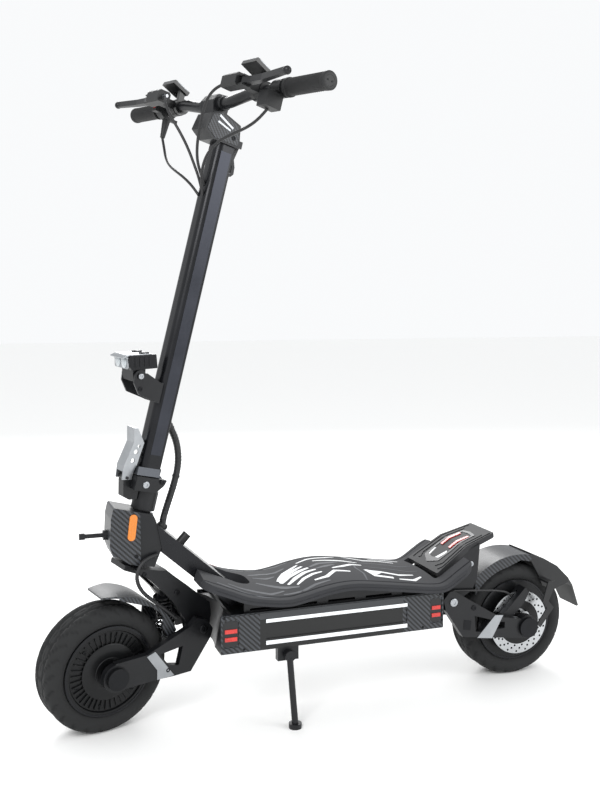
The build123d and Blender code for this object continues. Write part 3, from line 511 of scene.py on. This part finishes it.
def flat_y(y):
    """Place for a plate outlined in X-Z: own X is X and own Y is Z, at a level y."""
    return Matrix.Translation((0, y * MM, 0)) @ Matrix.Rotation(pi / 2, 4, "X")


# ------------------------------------------------------------------------- wheels
def tread_tyre():
    """Tyre with a carcass of even width, sidewall ribs and slanted tread blocks."""
    outer = []
    centre_r, centre_y, arc = 108.35, 18.63, 19.7
    low = atan2(12.37, -15.35)
    high = atan2(-4.63, 19.15)
    for step in range(13):
        angle = low + (high - low) * step / 12
        outer.append((centre_r + arc * cos(angle), centre_y + arc * sin(angle)))
    crown = [(TYRE_RADIUS, y) for y in (11, 8, 5, 3, 1.5, 0)]
    half = [(86.5, 29.5), (93, 30)] + outer + crown
    piece = turned(half + [(r, -y) for r, y in half[-2::-1]], 288, 30)

    def groove(place):
        radius = (place.x ** 2 + place.y ** 2) ** 0.5
        turn = atan2(place.y, place.x) / (2 * pi) * 24
        slanted = (turn + 0.05 * abs(place.z) + 0.01) % 1 < 0.13 and abs(place.z) > 4
        return radius > 114 and (slanted or abs(abs(place.z) - 11) < 0.1)

    def sipe(place):
        turn = atan2(place.y, place.x) / (2 * pi) * 72 + 0.01
        return abs(place.z) < 1 and turn % 2 < 1

    def rib(place):
        return 100 < (place.x ** 2 + place.y ** 2) ** 0.5 < 104 and abs(place.z) > 30

    for test, depth in ((groove, 3.0), (sipe, 1.6), (rib, 0.6)):
        pick(piece, test)
        bpy.ops.transform.shrink_fatten(value=-depth * MM)
    bpy.ops.object.mode_set(mode="OBJECT")
    return piece


def sized(radius, height):
    return Matrix.Diagonal((radius, radius, height, 1))


def wheels(bolt):
    # the last value is the brake disc's level along the wheel's own axis
    rows = (("front", STEERED @ along_y(*FRONT_AXLE), "front_wheel", -44.0),
            ("rear", along_y(*REAR_AXLE), "rear_wheel", 53.0))
    for name, place, body, disc in rows:
        fit(tread_tyre(), name + "_tyre_tread", place, body, "tyre",
            stands_for=[name + "_tyre"])
        lip = turned([(88, 33.4), (91.6, 33.4), (91.6, 34.3), (88, 34.3)], 72)
        fit(lip, name + "_rim_lip", place, body, "satin_alloy")
        outward = 1 if disc > 0 else -1
        turned_out = Matrix.Rotation(0 if disc > 0 else pi, 4, "X")
        for turn in range(BOLTS_ROUND):
            around = Matrix.Rotation(2 * pi * (turn + 0.5) / BOLTS_ROUND, 4, "Z")
            if name == "front":
                spot = place @ around @ Matrix.Translation((70 * MM, 0, 30.2 * MM))
                fit(copied(bolt), f"{name}_cover_bolt_{turn + 1}", spot @ sized(3.4, 2.6), body,
                    "axle_steel")
            level = disc + BOLT_PROUD * outward
            spot = place @ around @ Matrix.Translation((26 * MM, 0, level * MM)) @ turned_out
            fit(copied(bolt), f"{name}_disc_bolt_{turn + 1}", spot @ sized(3.0, 2.4), body,
                "axle_steel")
        shield = turned([(19, 33), (57, 33), (57, 34.6), (55, 35.6), (40, 36.4), (30, 36.8),
                         (29, 37.6), (27, 37.6), (26, 36.9), (19, 37)], 72)
        inward = Matrix.Rotation(pi if disc > 0 else 0, 4, "X")
        fit(shield, name + "_hub_shield", place @ inward, body, "motor_black")
        for face in (-1, 1):
            carrier = turned([(31, -0.35), (50, -0.35), (50, 0.35), (31, 0.35)], 60)
            level = disc + face * 1.4
            fit(carrier, f"{name}_disc_carrier_{face + 2}",
                place @ Matrix.Translation((0, 0, level * MM)), body, "motor_black")
        valve = turned([(0, 0), (3.4, 0), (3.4, 10), (2.6, 11), (2.6, 15), (0, 15)], 16)
        spot = place @ Matrix.Translation((80 * MM, 0, 30 * MM)) @ Matrix.Rotation(
            radians(-62), 4, "Y")
        fit(valve, name + "_valve", spot, body, "hose_black")


def socket_bolt():
    """Button-head bolt of 1 mm radius and height with a socket, standing on its origin."""
    bpy.ops.object.select_all(action="DESELECT")
    bpy.ops.mesh.primitive_cylinder_add(vertices=24, radius=1 * MM, depth=1 * MM,
                                        location=(0, 0, 0.5 * MM))
    piece = bpy.context.object
    bpy.ops.object.transform_apply()
    pick(piece, lambda place: place.z > 0.9)
    bpy.ops.mesh.bevel(offset=0.32 * MM, segments=3)
    pick(piece, lambda place: place.z > 0.99)
    bpy.ops.mesh.inset(thickness=0.22 * MM)
    bpy.ops.mesh.extrude_region_move(TRANSFORM_OT_translate={"value": (0, 0, -0.5 * MM)})
    closed_up()
    smooth(piece, 30)
    return piece


def bolts(bolt):
    """Every visible screw: name, place in mm, head radius, frame, body, side and height."""
    rows = []
    for side, _ in SIDES:
        rows += [("fork_pivot", (161.7, 70, 233.8), 9, STEERED, "front_arm", side, 3),
                 ("fork_side", (93, 48, 299), 6, STEERED, "steerer", side, 2.5),
                 ("fork_front", (10, 48, 331), 4.5, STEERED, "steerer", side, 2),
                 ("hinge_main", (-22.6, 32, 503.3), 7, STEERED, "steerer", side, 2.5),
                 ("hinge_rear", (11, 34, 513.4), 5, STEERED, "steerer", side, 1.8),
                 ("lamp_pivot", (-86, 31, 708), 5.5, STEERED, "stem", side, 2),
                 ("lamp_bracket", (-80, 28, 684), 4.5, STEERED, "stem", side, 2),
                 ("head_screw", (-4.5, 26, 1202), 4.5, STEERED, "stem", side, 2),
                 ("arm_screw", (100, 70, 147), 4.5, STEERED, "front_arm", side, 1.6),
                 ("rear_pivot", (276.2, 90, 203.1), 9, CHASSIS, "rear_arm", side, 3),
                 ("rear_tie", (326, 90, 186), 6, CHASSIS, "rear_arm", side, 2.2),
                 ("bracket_top", (334, 60, 275), 6, CHASSIS, "chassis", side, 2.4),
                 ("bracket_low", (262, 60, 222), 5, CHASSIS, "chassis", side, 2.2),
                 ("head_low", (-396, 40, 352), 4, CHASSIS, "chassis", side, 1.4)]
        for index, x in enumerate((-236, -196, 198, 238)):
            rows.append((f"cover_{index + 1}", (x, 100, 228 if index in (0, 3) else 161), 2.6,
                         CHASSIS, "chassis", side, 0.8))
    silver = ("hinge_main", "rear_pivot", "bracket_top", "lamp_pivot")
    for name, (x, y, z), radius, base, body, side, height in rows:
        spot = base @ along_y(x, side * y, z, flip=side > 0)
        label = name + ("_left" if side < 0 else "_right")
        fit(copied(bolt), label, spot @ sized(radius, height), body,
            "bearing_steel" if name in silver else "axle_steel")


# --------------------------------------------------------------------- suspension
def coil(length, radius, wire, turns):
    """Coil spring standing on Z from 0 to its length, in mm."""
    points = []
    per_turn = 12
    for index in range(turns * per_turn + 1):
        angle = 2 * pi * index / per_turn
        height = wire + (length - 2 * wire) * index / (turns * per_turn)
        points.append((radius * cos(angle), radius * sin(angle), height))
    return tube(points, wire, 4)


def springs():
    upper_cup, both_cups = 17.5, 37.0
    rows = (("front", STEERED, (88, 0, 290), (118, 0, 205)),
            ("rear", CHASSIS, (334, 0, 275), (326, 0, 186)))
    for name, base, top_eye, low_eye in rows:
        top, low = Vector(top_eye), Vector(low_eye)
        axis = (low - top).normalized()
        turn = axis.to_track_quat("Z", "Y").to_matrix().to_4x4()
        spot = Matrix.Translation((top + axis * upper_cup) * MM) @ turn
        fit(coil((low - top).length - both_cups, 15.5, 2.2, 6), name + "_coil", base @ spot,
            name + "_damper", "spring_black", stands_for=[name + "_spring"])


def pockets():
    """Black floors of the lamp pockets at both ends of the side covers."""
    for side, _ in SIDES:
        for number, (middle, reach) in enumerate(((-222.5, 15.5), (229, 13))):
            floor = rounded([(middle - reach, 169), (middle + reach, 169),
                             (middle + reach, 220), (middle - reach, 220)], 9)
            fit(plate([floor], 0.2, 0.05), f"lamp_pocket_{number + 1}_{side + 2}",
                flat_y(side * 98.3), "chassis", "hose_black")


def accents():
    """Thin satin plates let into the outer faces of the swing arms."""
    front = [(45, 173), (61, 184), (117, 137), (80, 127), (75, 147)]
    rear = [(335, 118), (372, 113), (399, 162), (379, 164)]
    label = [(300, 140), (318, 137), (320, 158), (302, 162)]
    for side, word in SIDES:
        fit(plate([front], 0.6, 0.2), "front_arm_accent_" + word, STEERED @ flat_y(side * 70.5),
            "front_arm", "satin_silver")
        fit(plate([rear], 0.6, 0.2), "rear_arm_accent_" + word, flat_y(side * 90.5),
            "rear_arm", "satin_silver")
        fit(plate([label], 0.4, 0.1), "rear_arm_plate_" + word, flat_y(side * 90.3),
            "rear_arm", "axle_steel")


# --------------------------------------------------------------------------- deck
DECK_LINE = [(-284, 0, 295), (-228, 0, 272), (-190, 0, 254), (-113, 0, 241), (-75, 0, 246),
             (-20, 0, 258.5), (30, 0, 263), (90, 0, 255), (150, 0, 246), (220, 0, 235),
             (250, 0, 237), (290, 0, 264), (316, 0, 280)]


def prism(points, low, high):
    made = plate([points], (high - low) / 2, 0.0)
    made.data.transform(Matrix.Translation((0, 0, (high + low) / 2 * MM)))
    return made


def rounded(points, radius, steps=8):
    """The outline with each corner rounded, in mm."""
    loop = []
    count = len(points)
    for index, corner in enumerate(points):
        corner = Vector(corner)
        before = (Vector(points[index - 1]) - corner).normalized()
        after = (Vector(points[(index + 1) % count]) - corner).normalized()
        for step in range(steps + 1):
            share = step / steps
            one = corner + before * radius * (1 - share) ** 2
            loop.append(tuple(one + after * radius * share ** 2))
    return loop


def deck():
    """Moulded foot mat: crowned top, a groove all along inside the rim and a stepped edge."""
    half = [(118, 1), (118, 5.5), (116.6, 6.4), (116.6, 7.6), (118, 8.5), (118, 12.5),
            (116.5, 14.2), (113, 15.1), (104, 16.2), (103, 14.4), (100.5, 14.6), (99.5, 17.0),
            (80, 19.6), (60, 21.6), (40, 22.9), (20, 23.8), (0, 24)]
    section = half + [(-y, n) for y, n in half[-2::-1]] + [(-116.5, 0), (116.5, 0)]
    outline = bpy.data.curves.new("section", "CURVE")
    line = outline.splines.new("POLY")
    line.points.add(len(section) - 1)
    for point, (y, n) in zip(line.points, section):
        point.co = (y * MM, n * MM, 0, 1)
    line.use_cyclic_u = True
    shape = bpy.data.objects.new("section", outline)
    bpy.context.scene.collection.objects.link(shape)
    path = nurbs(DECK_LINE)
    path.data.bevel_mode = "OBJECT"
    path.data.bevel_object = shape
    path.data.twist_mode = "Z_UP"
    mat = meshed(path)
    bpy.data.objects.remove(shape)
    edge = [(-283, -117.5), (315, -117.5), (315, 117.5), (-283, 117.5)]
    throat = [(-320, -43), (-160, -43), (-160, 43), (-320, 43)]
    notch = [(236, -78), (340, -78), (340, 78), (236, 78)]
    trims = (("INTERSECT", prism(rounded(edge, 34), 200, 340)),
             ("DIFFERENCE", prism(rounded(throat, 30), 190, 350)),
             ("DIFFERENCE", prism(rounded(notch, 8), 190, 350)))
    for operation, cutter in trims:
        cut = mat.modifiers.new("trim", "BOOLEAN")
        cut.operation = operation
        cut.solver = "EXACT"
        cut.object = cutter
    apply_modifiers(mat)
    for operation, cutter in trims:
        bpy.data.objects.remove(cutter)
    smooth(mat, 30)
    return fit(mat, "deck_mat", CHASSIS, "chassis", "deck_rubber", stands_for=["deck_pad"])


def stroke(points, width, taper=0.25):
    """Brush stroke outline along points in mm, thin at both ends."""
    count = len(points)
    left, right = [], []
    for index, point in enumerate(points):
        here = Vector(point)
        along = (Vector(points[min(index + 1, count - 1)]) - Vector(points[max(index - 1, 0)]))
        normal = Vector((-along.y, along.x)).normalized()
        share = index / (count - 1)
        reach = width / 2 * (taper + (1 - taper) * sin(pi * min(max(share, 0.04), 0.96)) ** 0.6)
        left.append(tuple(here + normal * reach))
        right.append(tuple(here - normal * reach))
    return left + right[::-1]


def print_on(surface_piece, loops, name, kind, lift=0.35):
    """Raised screen print that follows the top of a chassis piece."""
    made = plate(loops, 0.02, 0.0)
    made.data.transform(Matrix.Translation((0, 0, 0.4)))
    pick(made, lambda place: place.z < 400)
    bpy.ops.mesh.delete(type="VERT")
    low, high = [[corner[axis] for corner in made.bound_box] for axis in (0, 1)]
    for axis, span, step in ((0, low, 0.012), (1, high, 0.02)):
        level = min(span) + step
        while level < max(span):
            bpy.ops.mesh.select_all(action="SELECT")
            place = [0, 0, 0.4]
            place[axis] = level
            bpy.ops.mesh.bisect(plane_co=place, plane_no=[float(axis == 0), float(axis == 1), 0])
            level += step
    bpy.ops.object.mode_set(mode="OBJECT")
    wrap = made.modifiers.new("wrap", "SHRINKWRAP")
    wrap.target = surface_piece
    wrap.wrap_method = "PROJECT"
    wrap.use_project_z = True
    wrap.use_negative_direction = True
    wrap.use_positive_direction = False
    wrap.offset = lift * MM
    wall = made.modifiers.new("wall", "SOLIDIFY")
    wall.thickness = (lift + 0.3) * MM
    wall.offset = -1
    apply_modifiers(made)
    return fit(made, name, CHASSIS, "chassis", kind)


def deck_prints(mat):
    white = [
        stroke([(-100, -22), (-80, -2), (-52, 16), (-30, 26)], 13),
        stroke([(-96, -36), (-74, -12), (-46, 2), (-22, 8)], 14),
        stroke([(-86, -50), (-62, -28), (-38, -14), (-12, -12)], 13),
        stroke([(-70, -62), (-50, -44), (-26, -34), (-6, -34)], 10),
        stroke([(-92, -4), (-74, 18), (-50, 34), (-34, 46)], 10),
        stroke([(-30, 62), (0, 78), (40, 74), (66, 84)], 9),
        stroke([(4, 52), (40, 40), (70, 34), (96, 20)], 9),
        stroke([(-34, -66), (-6, -64), (20, -40), (52, -50)], 11),
        stroke([(22, -22), (48, -14), (74, 2), (98, 0)], 10),
        stroke([(92, 100), (100, 78), (124, 52), (158, 58), (196, 46)], 9),
        stroke([(150, 84), (182, 82), (216, 66)], 9),
        stroke([(92, -36), (100, -72), (138, -80)], 11, 0.7),
        stroke([(94, -38), (126, -46), (160, -60), (196, -54)], 9),
        stroke([(150, -84), (184, -86), (210, -64)], 9),
    ]
    grey = [
        stroke([(-248, -92), (-206, -98), (-160, -104), (-118, -104)], 9),
        stroke([(-222, -78), (-180, -80), (-136, -90), (-104, -76)], 10),
        stroke([(-150, 30), (-118, 44), (-86, 40), (-62, 52)], 12),
        stroke([(-146, 8), (-118, 4), (-96, 14)], 11),
        stroke([(-140, 84), (-104, 96), (-70, 88), (-40, 96)], 10),
        stroke([(-150, -30), (-122, -46), (-96, -62), (-70, -74)], 13),
        stroke([(-110, -92), (-70, -96), (-40, -86), (-6, -84)], 9),
        stroke([(-18, 10), (6, 22), (32, 18), (54, 24)], 14),
        stroke([(-10, -8), (14, -4), (36, 2)], 12),
        stroke([(70, 98), (84, 72), (90, 40), (84, 14)], 5),
        stroke([(70, -98), (78, -60), (74, -24), (84, 14)], 5),
        stroke([(90, 18), (140, 20), (190, 8), (222, 14)], 5),
        stroke([(100, -12), (146, -18), (192, -30), (220, -26)], 4),
        stroke([(-248, 66), (-206, 74), (-170, 70), (-146, 76)], 9),
    ]
    print_on(mat, white, "deck_print_white", "white_print")
    print_on(mat, grey, "deck_print_grey", "grey_print")
    red = [stroke([(-262, 92), (-232, 96), (-200, 92)], 9, 0.6),
           stroke([(-258, 78), (-234, 80), (-208, 78)], 5, 0.6)]
    print_on(mat, red, "deck_print_red", "red_print")


def kick_details():
    cad = nodes["kick_plate"]
    white = [[(262, -16), (292, -28), (296, -20), (272, -9)],
             [(262, 14), (292, 22), (290, 29), (264, 21)]]
    print_on(cad, white, "kick_print_white", "white_print", 0.5)
    ribs = []
    for side in (-1, 1):
        ribs.append([(256, side * 40), (268, side * 52), (372, side * 40), (368, side * 34),
                     (270, side * 44), (260, side * 35)])
        ribs.append([(252, side * 58), (262, side * 64), (388, side * 47), (386, side * 43),
                     (262, side * 59)])
    for number, rib in enumerate(ribs):
        loop = rib if rib[0][1] < 0 else rib[::-1]
        print_on(cad, [loop], f"kick_rib_{number + 1}", "kick_plastic", 1.6)
    pad = [(268, -32), (300, -34), (362, -26), (366, 0), (362, 26), (300, 34), (268, 32),
           (256, 0)]
    hole = [(274, -26), (270, 0), (274, 26), (300, 28), (356, 21), (359, 0), (356, -21),
            (300, -28)]
    print_on(cad, [pad, hole], "kick_frame", "black_alloy", 1.2)


# ------------------------------------------------------------------ bar and stem
def bar_place(y):
    share = (abs(y) - BAR_STRAIGHT) / (BAR_HALF - BAR_STRAIGHT)
    return Vector((-44 + 4 * share, y, 1266 + share))


def knurled_grip(length):
    """Rubber grip along Z with raised diamonds, an inner flange and a closed end, in mm."""
    rows, around, plain_end = 34, 36, 8.0
    pitch = (length - 2 * plain_end) / rows
    profile = [(0, 0), (17.4, 0), (17.4, 6), (15.2, 7)]
    profile += [(15, plain_end + row * pitch) for row in range(rows + 1)]
    profile += [(16.2, length - 6), (16.2, length), (0, length)]
    piece = turned(profile, around, 25)

    def diamond(place):
        turn = round(atan2(place.y, place.x) / (2 * pi) * around)
        row = round((place.z - plain_end) / pitch)
        inside = abs(place.to_2d().length - 15) < 0.05 and 0 < row < rows
        return inside and (turn + row) % 2 == 0

    pick(piece, diamond)
    bpy.ops.transform.shrink_fatten(value=0.95 * MM)
    bpy.ops.object.mode_set(mode="OBJECT")
    return piece


def grips():
    for side, word in SIDES:
        inner, outer = bar_place(side * 236), bar_place(side * 349)
        axis = outer - inner
        turn = axis.to_track_quat("Z", "Y").to_matrix().to_4x4()
        spot = STEERED @ Matrix.Translation(inner * MM) @ turn
        end = spot @ Matrix.Translation((0, 0, (axis.length - 0.6) * MM))
        fit(knurled_grip(axis.length), "grip_" + word, spot, "stem",
                          "grip_rubber")
        cap = turned([(0, 0), (14.6, 0), (16.4, 1.0), (16.4, 2.0), (14.4, 3.2), (10, 3.4),
                      (9.4, 2.8), (0, 2.8)])
        fit(cap, "grip_cap_" + word, end, "stem", "black_plastic")
        for hole in (-1, 1):
            eyelet = turned([(1.1, 0), (1.7, 0), (1.7, 0.5), (1.1, 0.5)], 16)
            fit(eyelet, f"grip_cap_eyelet_{word}_{hole + 2}",
                end @ Matrix.Translation((5 * hole * MM, 0, 2.8 * MM)), "stem", "axle_steel")
    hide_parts("grips")


def stem_details():
    strips = (([(-45, 1236), (-10, 1220.6), (-11.5, 1216.8), (-46, 1231.5)], "upper"),
              ([(-46, 1223.6), (-15, 1214.6), (-16, 1211.4), (-47, 1219.8)], "lower"))
    panel = [(-41, 1240), (2, 1227), (4, 1216), (9, 1190), (-46, 1190), (-66, 1203), (-60, 1231)]
    for side, word in SIDES:
        fit(plate([panel], 0.5, 0.1), "stem_head_panel_" + word, STEERED @ flat_y(side * 26.3),
            "stem", "carbon_print")
        for loop, level in strips:
            fit(plate([loop], 0.5, 0.1), f"stem_head_strip_{level}_" + word,
                STEERED @ flat_y(side * 27.0), "stem", "satin_silver")
        # the inlay's lighter grey is partly painted reflection on the stem's flat side face
        inlay = [(-22, 562), (2, 562), (2, 1172), (-22, 1172)]
        fit(plate([inlay], 0.25, 0.1), "stem_inlay_" + word, STEERED @ flat_y(side * 21.15),
            "stem", "inlay_alloy")


def display_faces():
    tilt = Matrix.Rotation(DISPLAY_TILT, 4, "Y")
    for (side, word), a in zip(SIDES, (-67, -57)):
        middle = Vector((a, side * DISPLAY_FROM_MIDDLE, DISPLAY_HEIGHT)) * MM
        spot = STEERED @ Matrix.Translation(middle) @ tilt
        bezel = rounded([(-20, -25), (20, -25), (20, 25), (-20, 25)], 6)
        glass = rounded([(-16, -20), (16, -20), (16, 21), (-16, 21)], 4)
        fit(plate([bezel], 1.2, 0.6), "display_bezel_" + word,
            spot @ Matrix.Translation((0, 0, 3.6 * MM)), "stem", "satin_silver")
        fit(plate([glass], 0.5, 0.2), "display_glass_" + word,
            spot @ Matrix.Translation((0, 0, 4.8 * MM)), "stem", "screen")


def headlight_details():
    """Bezel, twin lenses, visor and side fins of the lamp, in its own level frame."""
    lamp = STEERED @ Matrix.Translation(Vector(LAMP_PIVOT) * MM) @ Matrix.Rotation(
        -LAMP_LEVEL, 4, "Y")
    ahead = Matrix(((0, 0, -1, 0), (1, 0, 0, 0), (0, 1, 0, 0), (0, 0, 0, 1)))
    face = rounded([(-28, 15), (28, 15), (28, 39), (-28, 39)], 5)
    fit(plate([face], 1.4, 0.7), "headlight_bezel",
        lamp @ Matrix.Translation((-25 * MM, 0, 0)) @ ahead, "lamp", "satin_silver")
    for side, word in SIDES:
        lens = turned([(0, 0), (10.5, 0), (10.5, 1.2), (8, 2.4), (4, 3.0), (0, 3.2)], 40)
        spot = lamp @ Matrix.Translation(Vector((-26, side * 13, 27)) * MM)
        fit(lens, "headlight_lens_" + word, spot @ Matrix.Rotation(-pi / 2, 4, "Y"), "lamp",
            "clear_lens")
        for rib in range(4):
            x = -12 + rib * 10
            loop = [(x, 18), (x + 4, 18), (x + 4, 36), (x, 36)]
            fit(plate([loop], 0.8, 0.3), f"headlight_fin_{rib + 1}_{word}",
                lamp @ flat_y(side * 30.3), "lamp", "lamp_housing")
    visor = [(26, 41.5), (-24, 42.5), (-36, 38), (-35, 36), (-22, 40), (26, 39.8)]
    fit(plate([visor], 27, 0.3), "headlight_visor", lamp @ flat_y(0), "lamp", "satin_silver")
    vent = [(6, 41), (24, 41), (24, 44), (6, 44)]
    for side, word in SIDES:
        fit(plate([vent], 5, 0.8), "headlight_vent_" + word,
            lamp @ flat_y(side * 15), "lamp", "lamp_housing")


# ------------------------------------------------------------------------- cables
def at(a, y, s):
    """Point of the column frame in the chassis frame, both in mm."""
    return tuple((STEERED @ (Vector((a, y, s)) * MM)) / MM)


def route(points):
    return [at(*point) for point in points]


def harnesses():
    upper = [(9.5, 3, 634), (25, 5, 617), (44, 6, 595), (57, 6, 566), (61.5, 5, 539),
             (61.5, 5, 521)]
    piece = fit(wrapped(route(upper), 8.4),
                "harness_upper_wrap", CHASSIS, None, "cable_wrap",
                stands_for=["harness_upper"])
    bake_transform(piece)
    lower = [at(61.5, 5, 521), at(60.5, 5, 497), at(57, 4, 470), at(53, 2, 440),
             (-332.5, 14, 403), (-334, 14, 390)]
    piece = fit(wrapped(lower, 8.4), "harness_lower_wrap", CHASSIS, None,
                "cable_wrap", stands_for=["lower_harness"])
    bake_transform(piece)
    motor = [(27, -53.5, 374), (8, -50, 366), (-9, -52.5, 345), (-8, -52.5, 320),
             (12, -52, 296), (44, -52, 279), (74, -52, 264), (104, -52, 247)]
    fit(wrapped(route(motor), 4.6, 1.0, 5.0), "motor_cable",
        CHASSIS, "steerer", "cable_wrap")
    tie = turned([(6.2, -2.2), (7.9, -2.2), (7.9, 2.2), (6.2, 2.2)], 28)
    spot = Matrix.Translation(Vector(at(61.5, 5, 524)) * MM) @ Matrix.Rotation(RAKE, 4, "Y")
    fit(tie, "harness_tie", spot, "steerer", "black_plastic")
    gland = turned([(7.2, -3), (11, -3), (11, 2), (9, 6), (7.2, 6)], 28)
    spot = Matrix.Translation((-333.5 * MM, 14 * MM, 396 * MM)) @ Matrix.Rotation(
        radians(30), 4, "Y")
    fit(gland, "harness_gland", spot, "chassis", "black_plastic")


def hoses():
    left = [(-98, -120, 1266), (-104, -104, 1262), (-110, -86, 1246), (-104, -64, 1222),
            (-92, -44, 1196), (-80, -26, 1166), (-64, -12, 1138), (-45, -6, 1116),
            (-33, -5, 1100)]
    right = [(-98, 120, 1266), (-105, 102, 1260), (-110, 82, 1242), (-102, 60, 1216),
             (-84, 42, 1190), (-66, 28, 1162), (-52, 16, 1134), (-41, 7, 1112), (-33, 5, 1096)]
    thumb = [(-38, 207, 1207), (-34, 198, 1188), (-36, 178, 1166), (-42, 148, 1148),
             (-50, 112, 1134), (-54, 76, 1122), (-50, 42, 1108), (-41, 18, 1092), (-33, 8, 1080)]
    switch = [(-60, -212, 1224), (-62, -198, 1208), (-66, -172, 1192), (-72, -136, 1180),
              (-78, -98, 1166), (-74, -62, 1146), (-62, -34, 1122), (-46, -16, 1098),
              (-33, -8, 1080)]
    names = ("brake_hose_left", "brake_hose_right", "throttle_wire", "switch_wire")
    for name, points in zip(names, (left, right, thumb, switch)):
        fit(tube(route(points), 2.8), name, CHASSIS, "stem", "hose_black")
    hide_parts("control_hoses")
    for side, word in SIDES:
        nut = turned([(0, 0), (5.2, 0), (5.2, 6), (4, 8), (3.2, 14), (0, 14)], 6)
        spot = STEERED @ Matrix.Translation(Vector((-98, side * 121, 1266)) * MM)
        turn = Matrix.Rotation(pi / 2 * side, 4, "X")
        fit(nut, "hose_nut_" + word, spot @ turn, "stem", "bearing_steel")


camera()
studio()
dress_cad_nodes()
bolt_master = socket_bolt()
wheels(bolt_master)
springs()
bolts(bolt_master)
bpy.data.objects.remove(bolt_master)
accents()
pockets()
deck_mat = deck()
deck_prints(deck_mat)
kick_details()
grips()
stem_details()
display_faces()
headlight_details()
harnesses()
hoses()
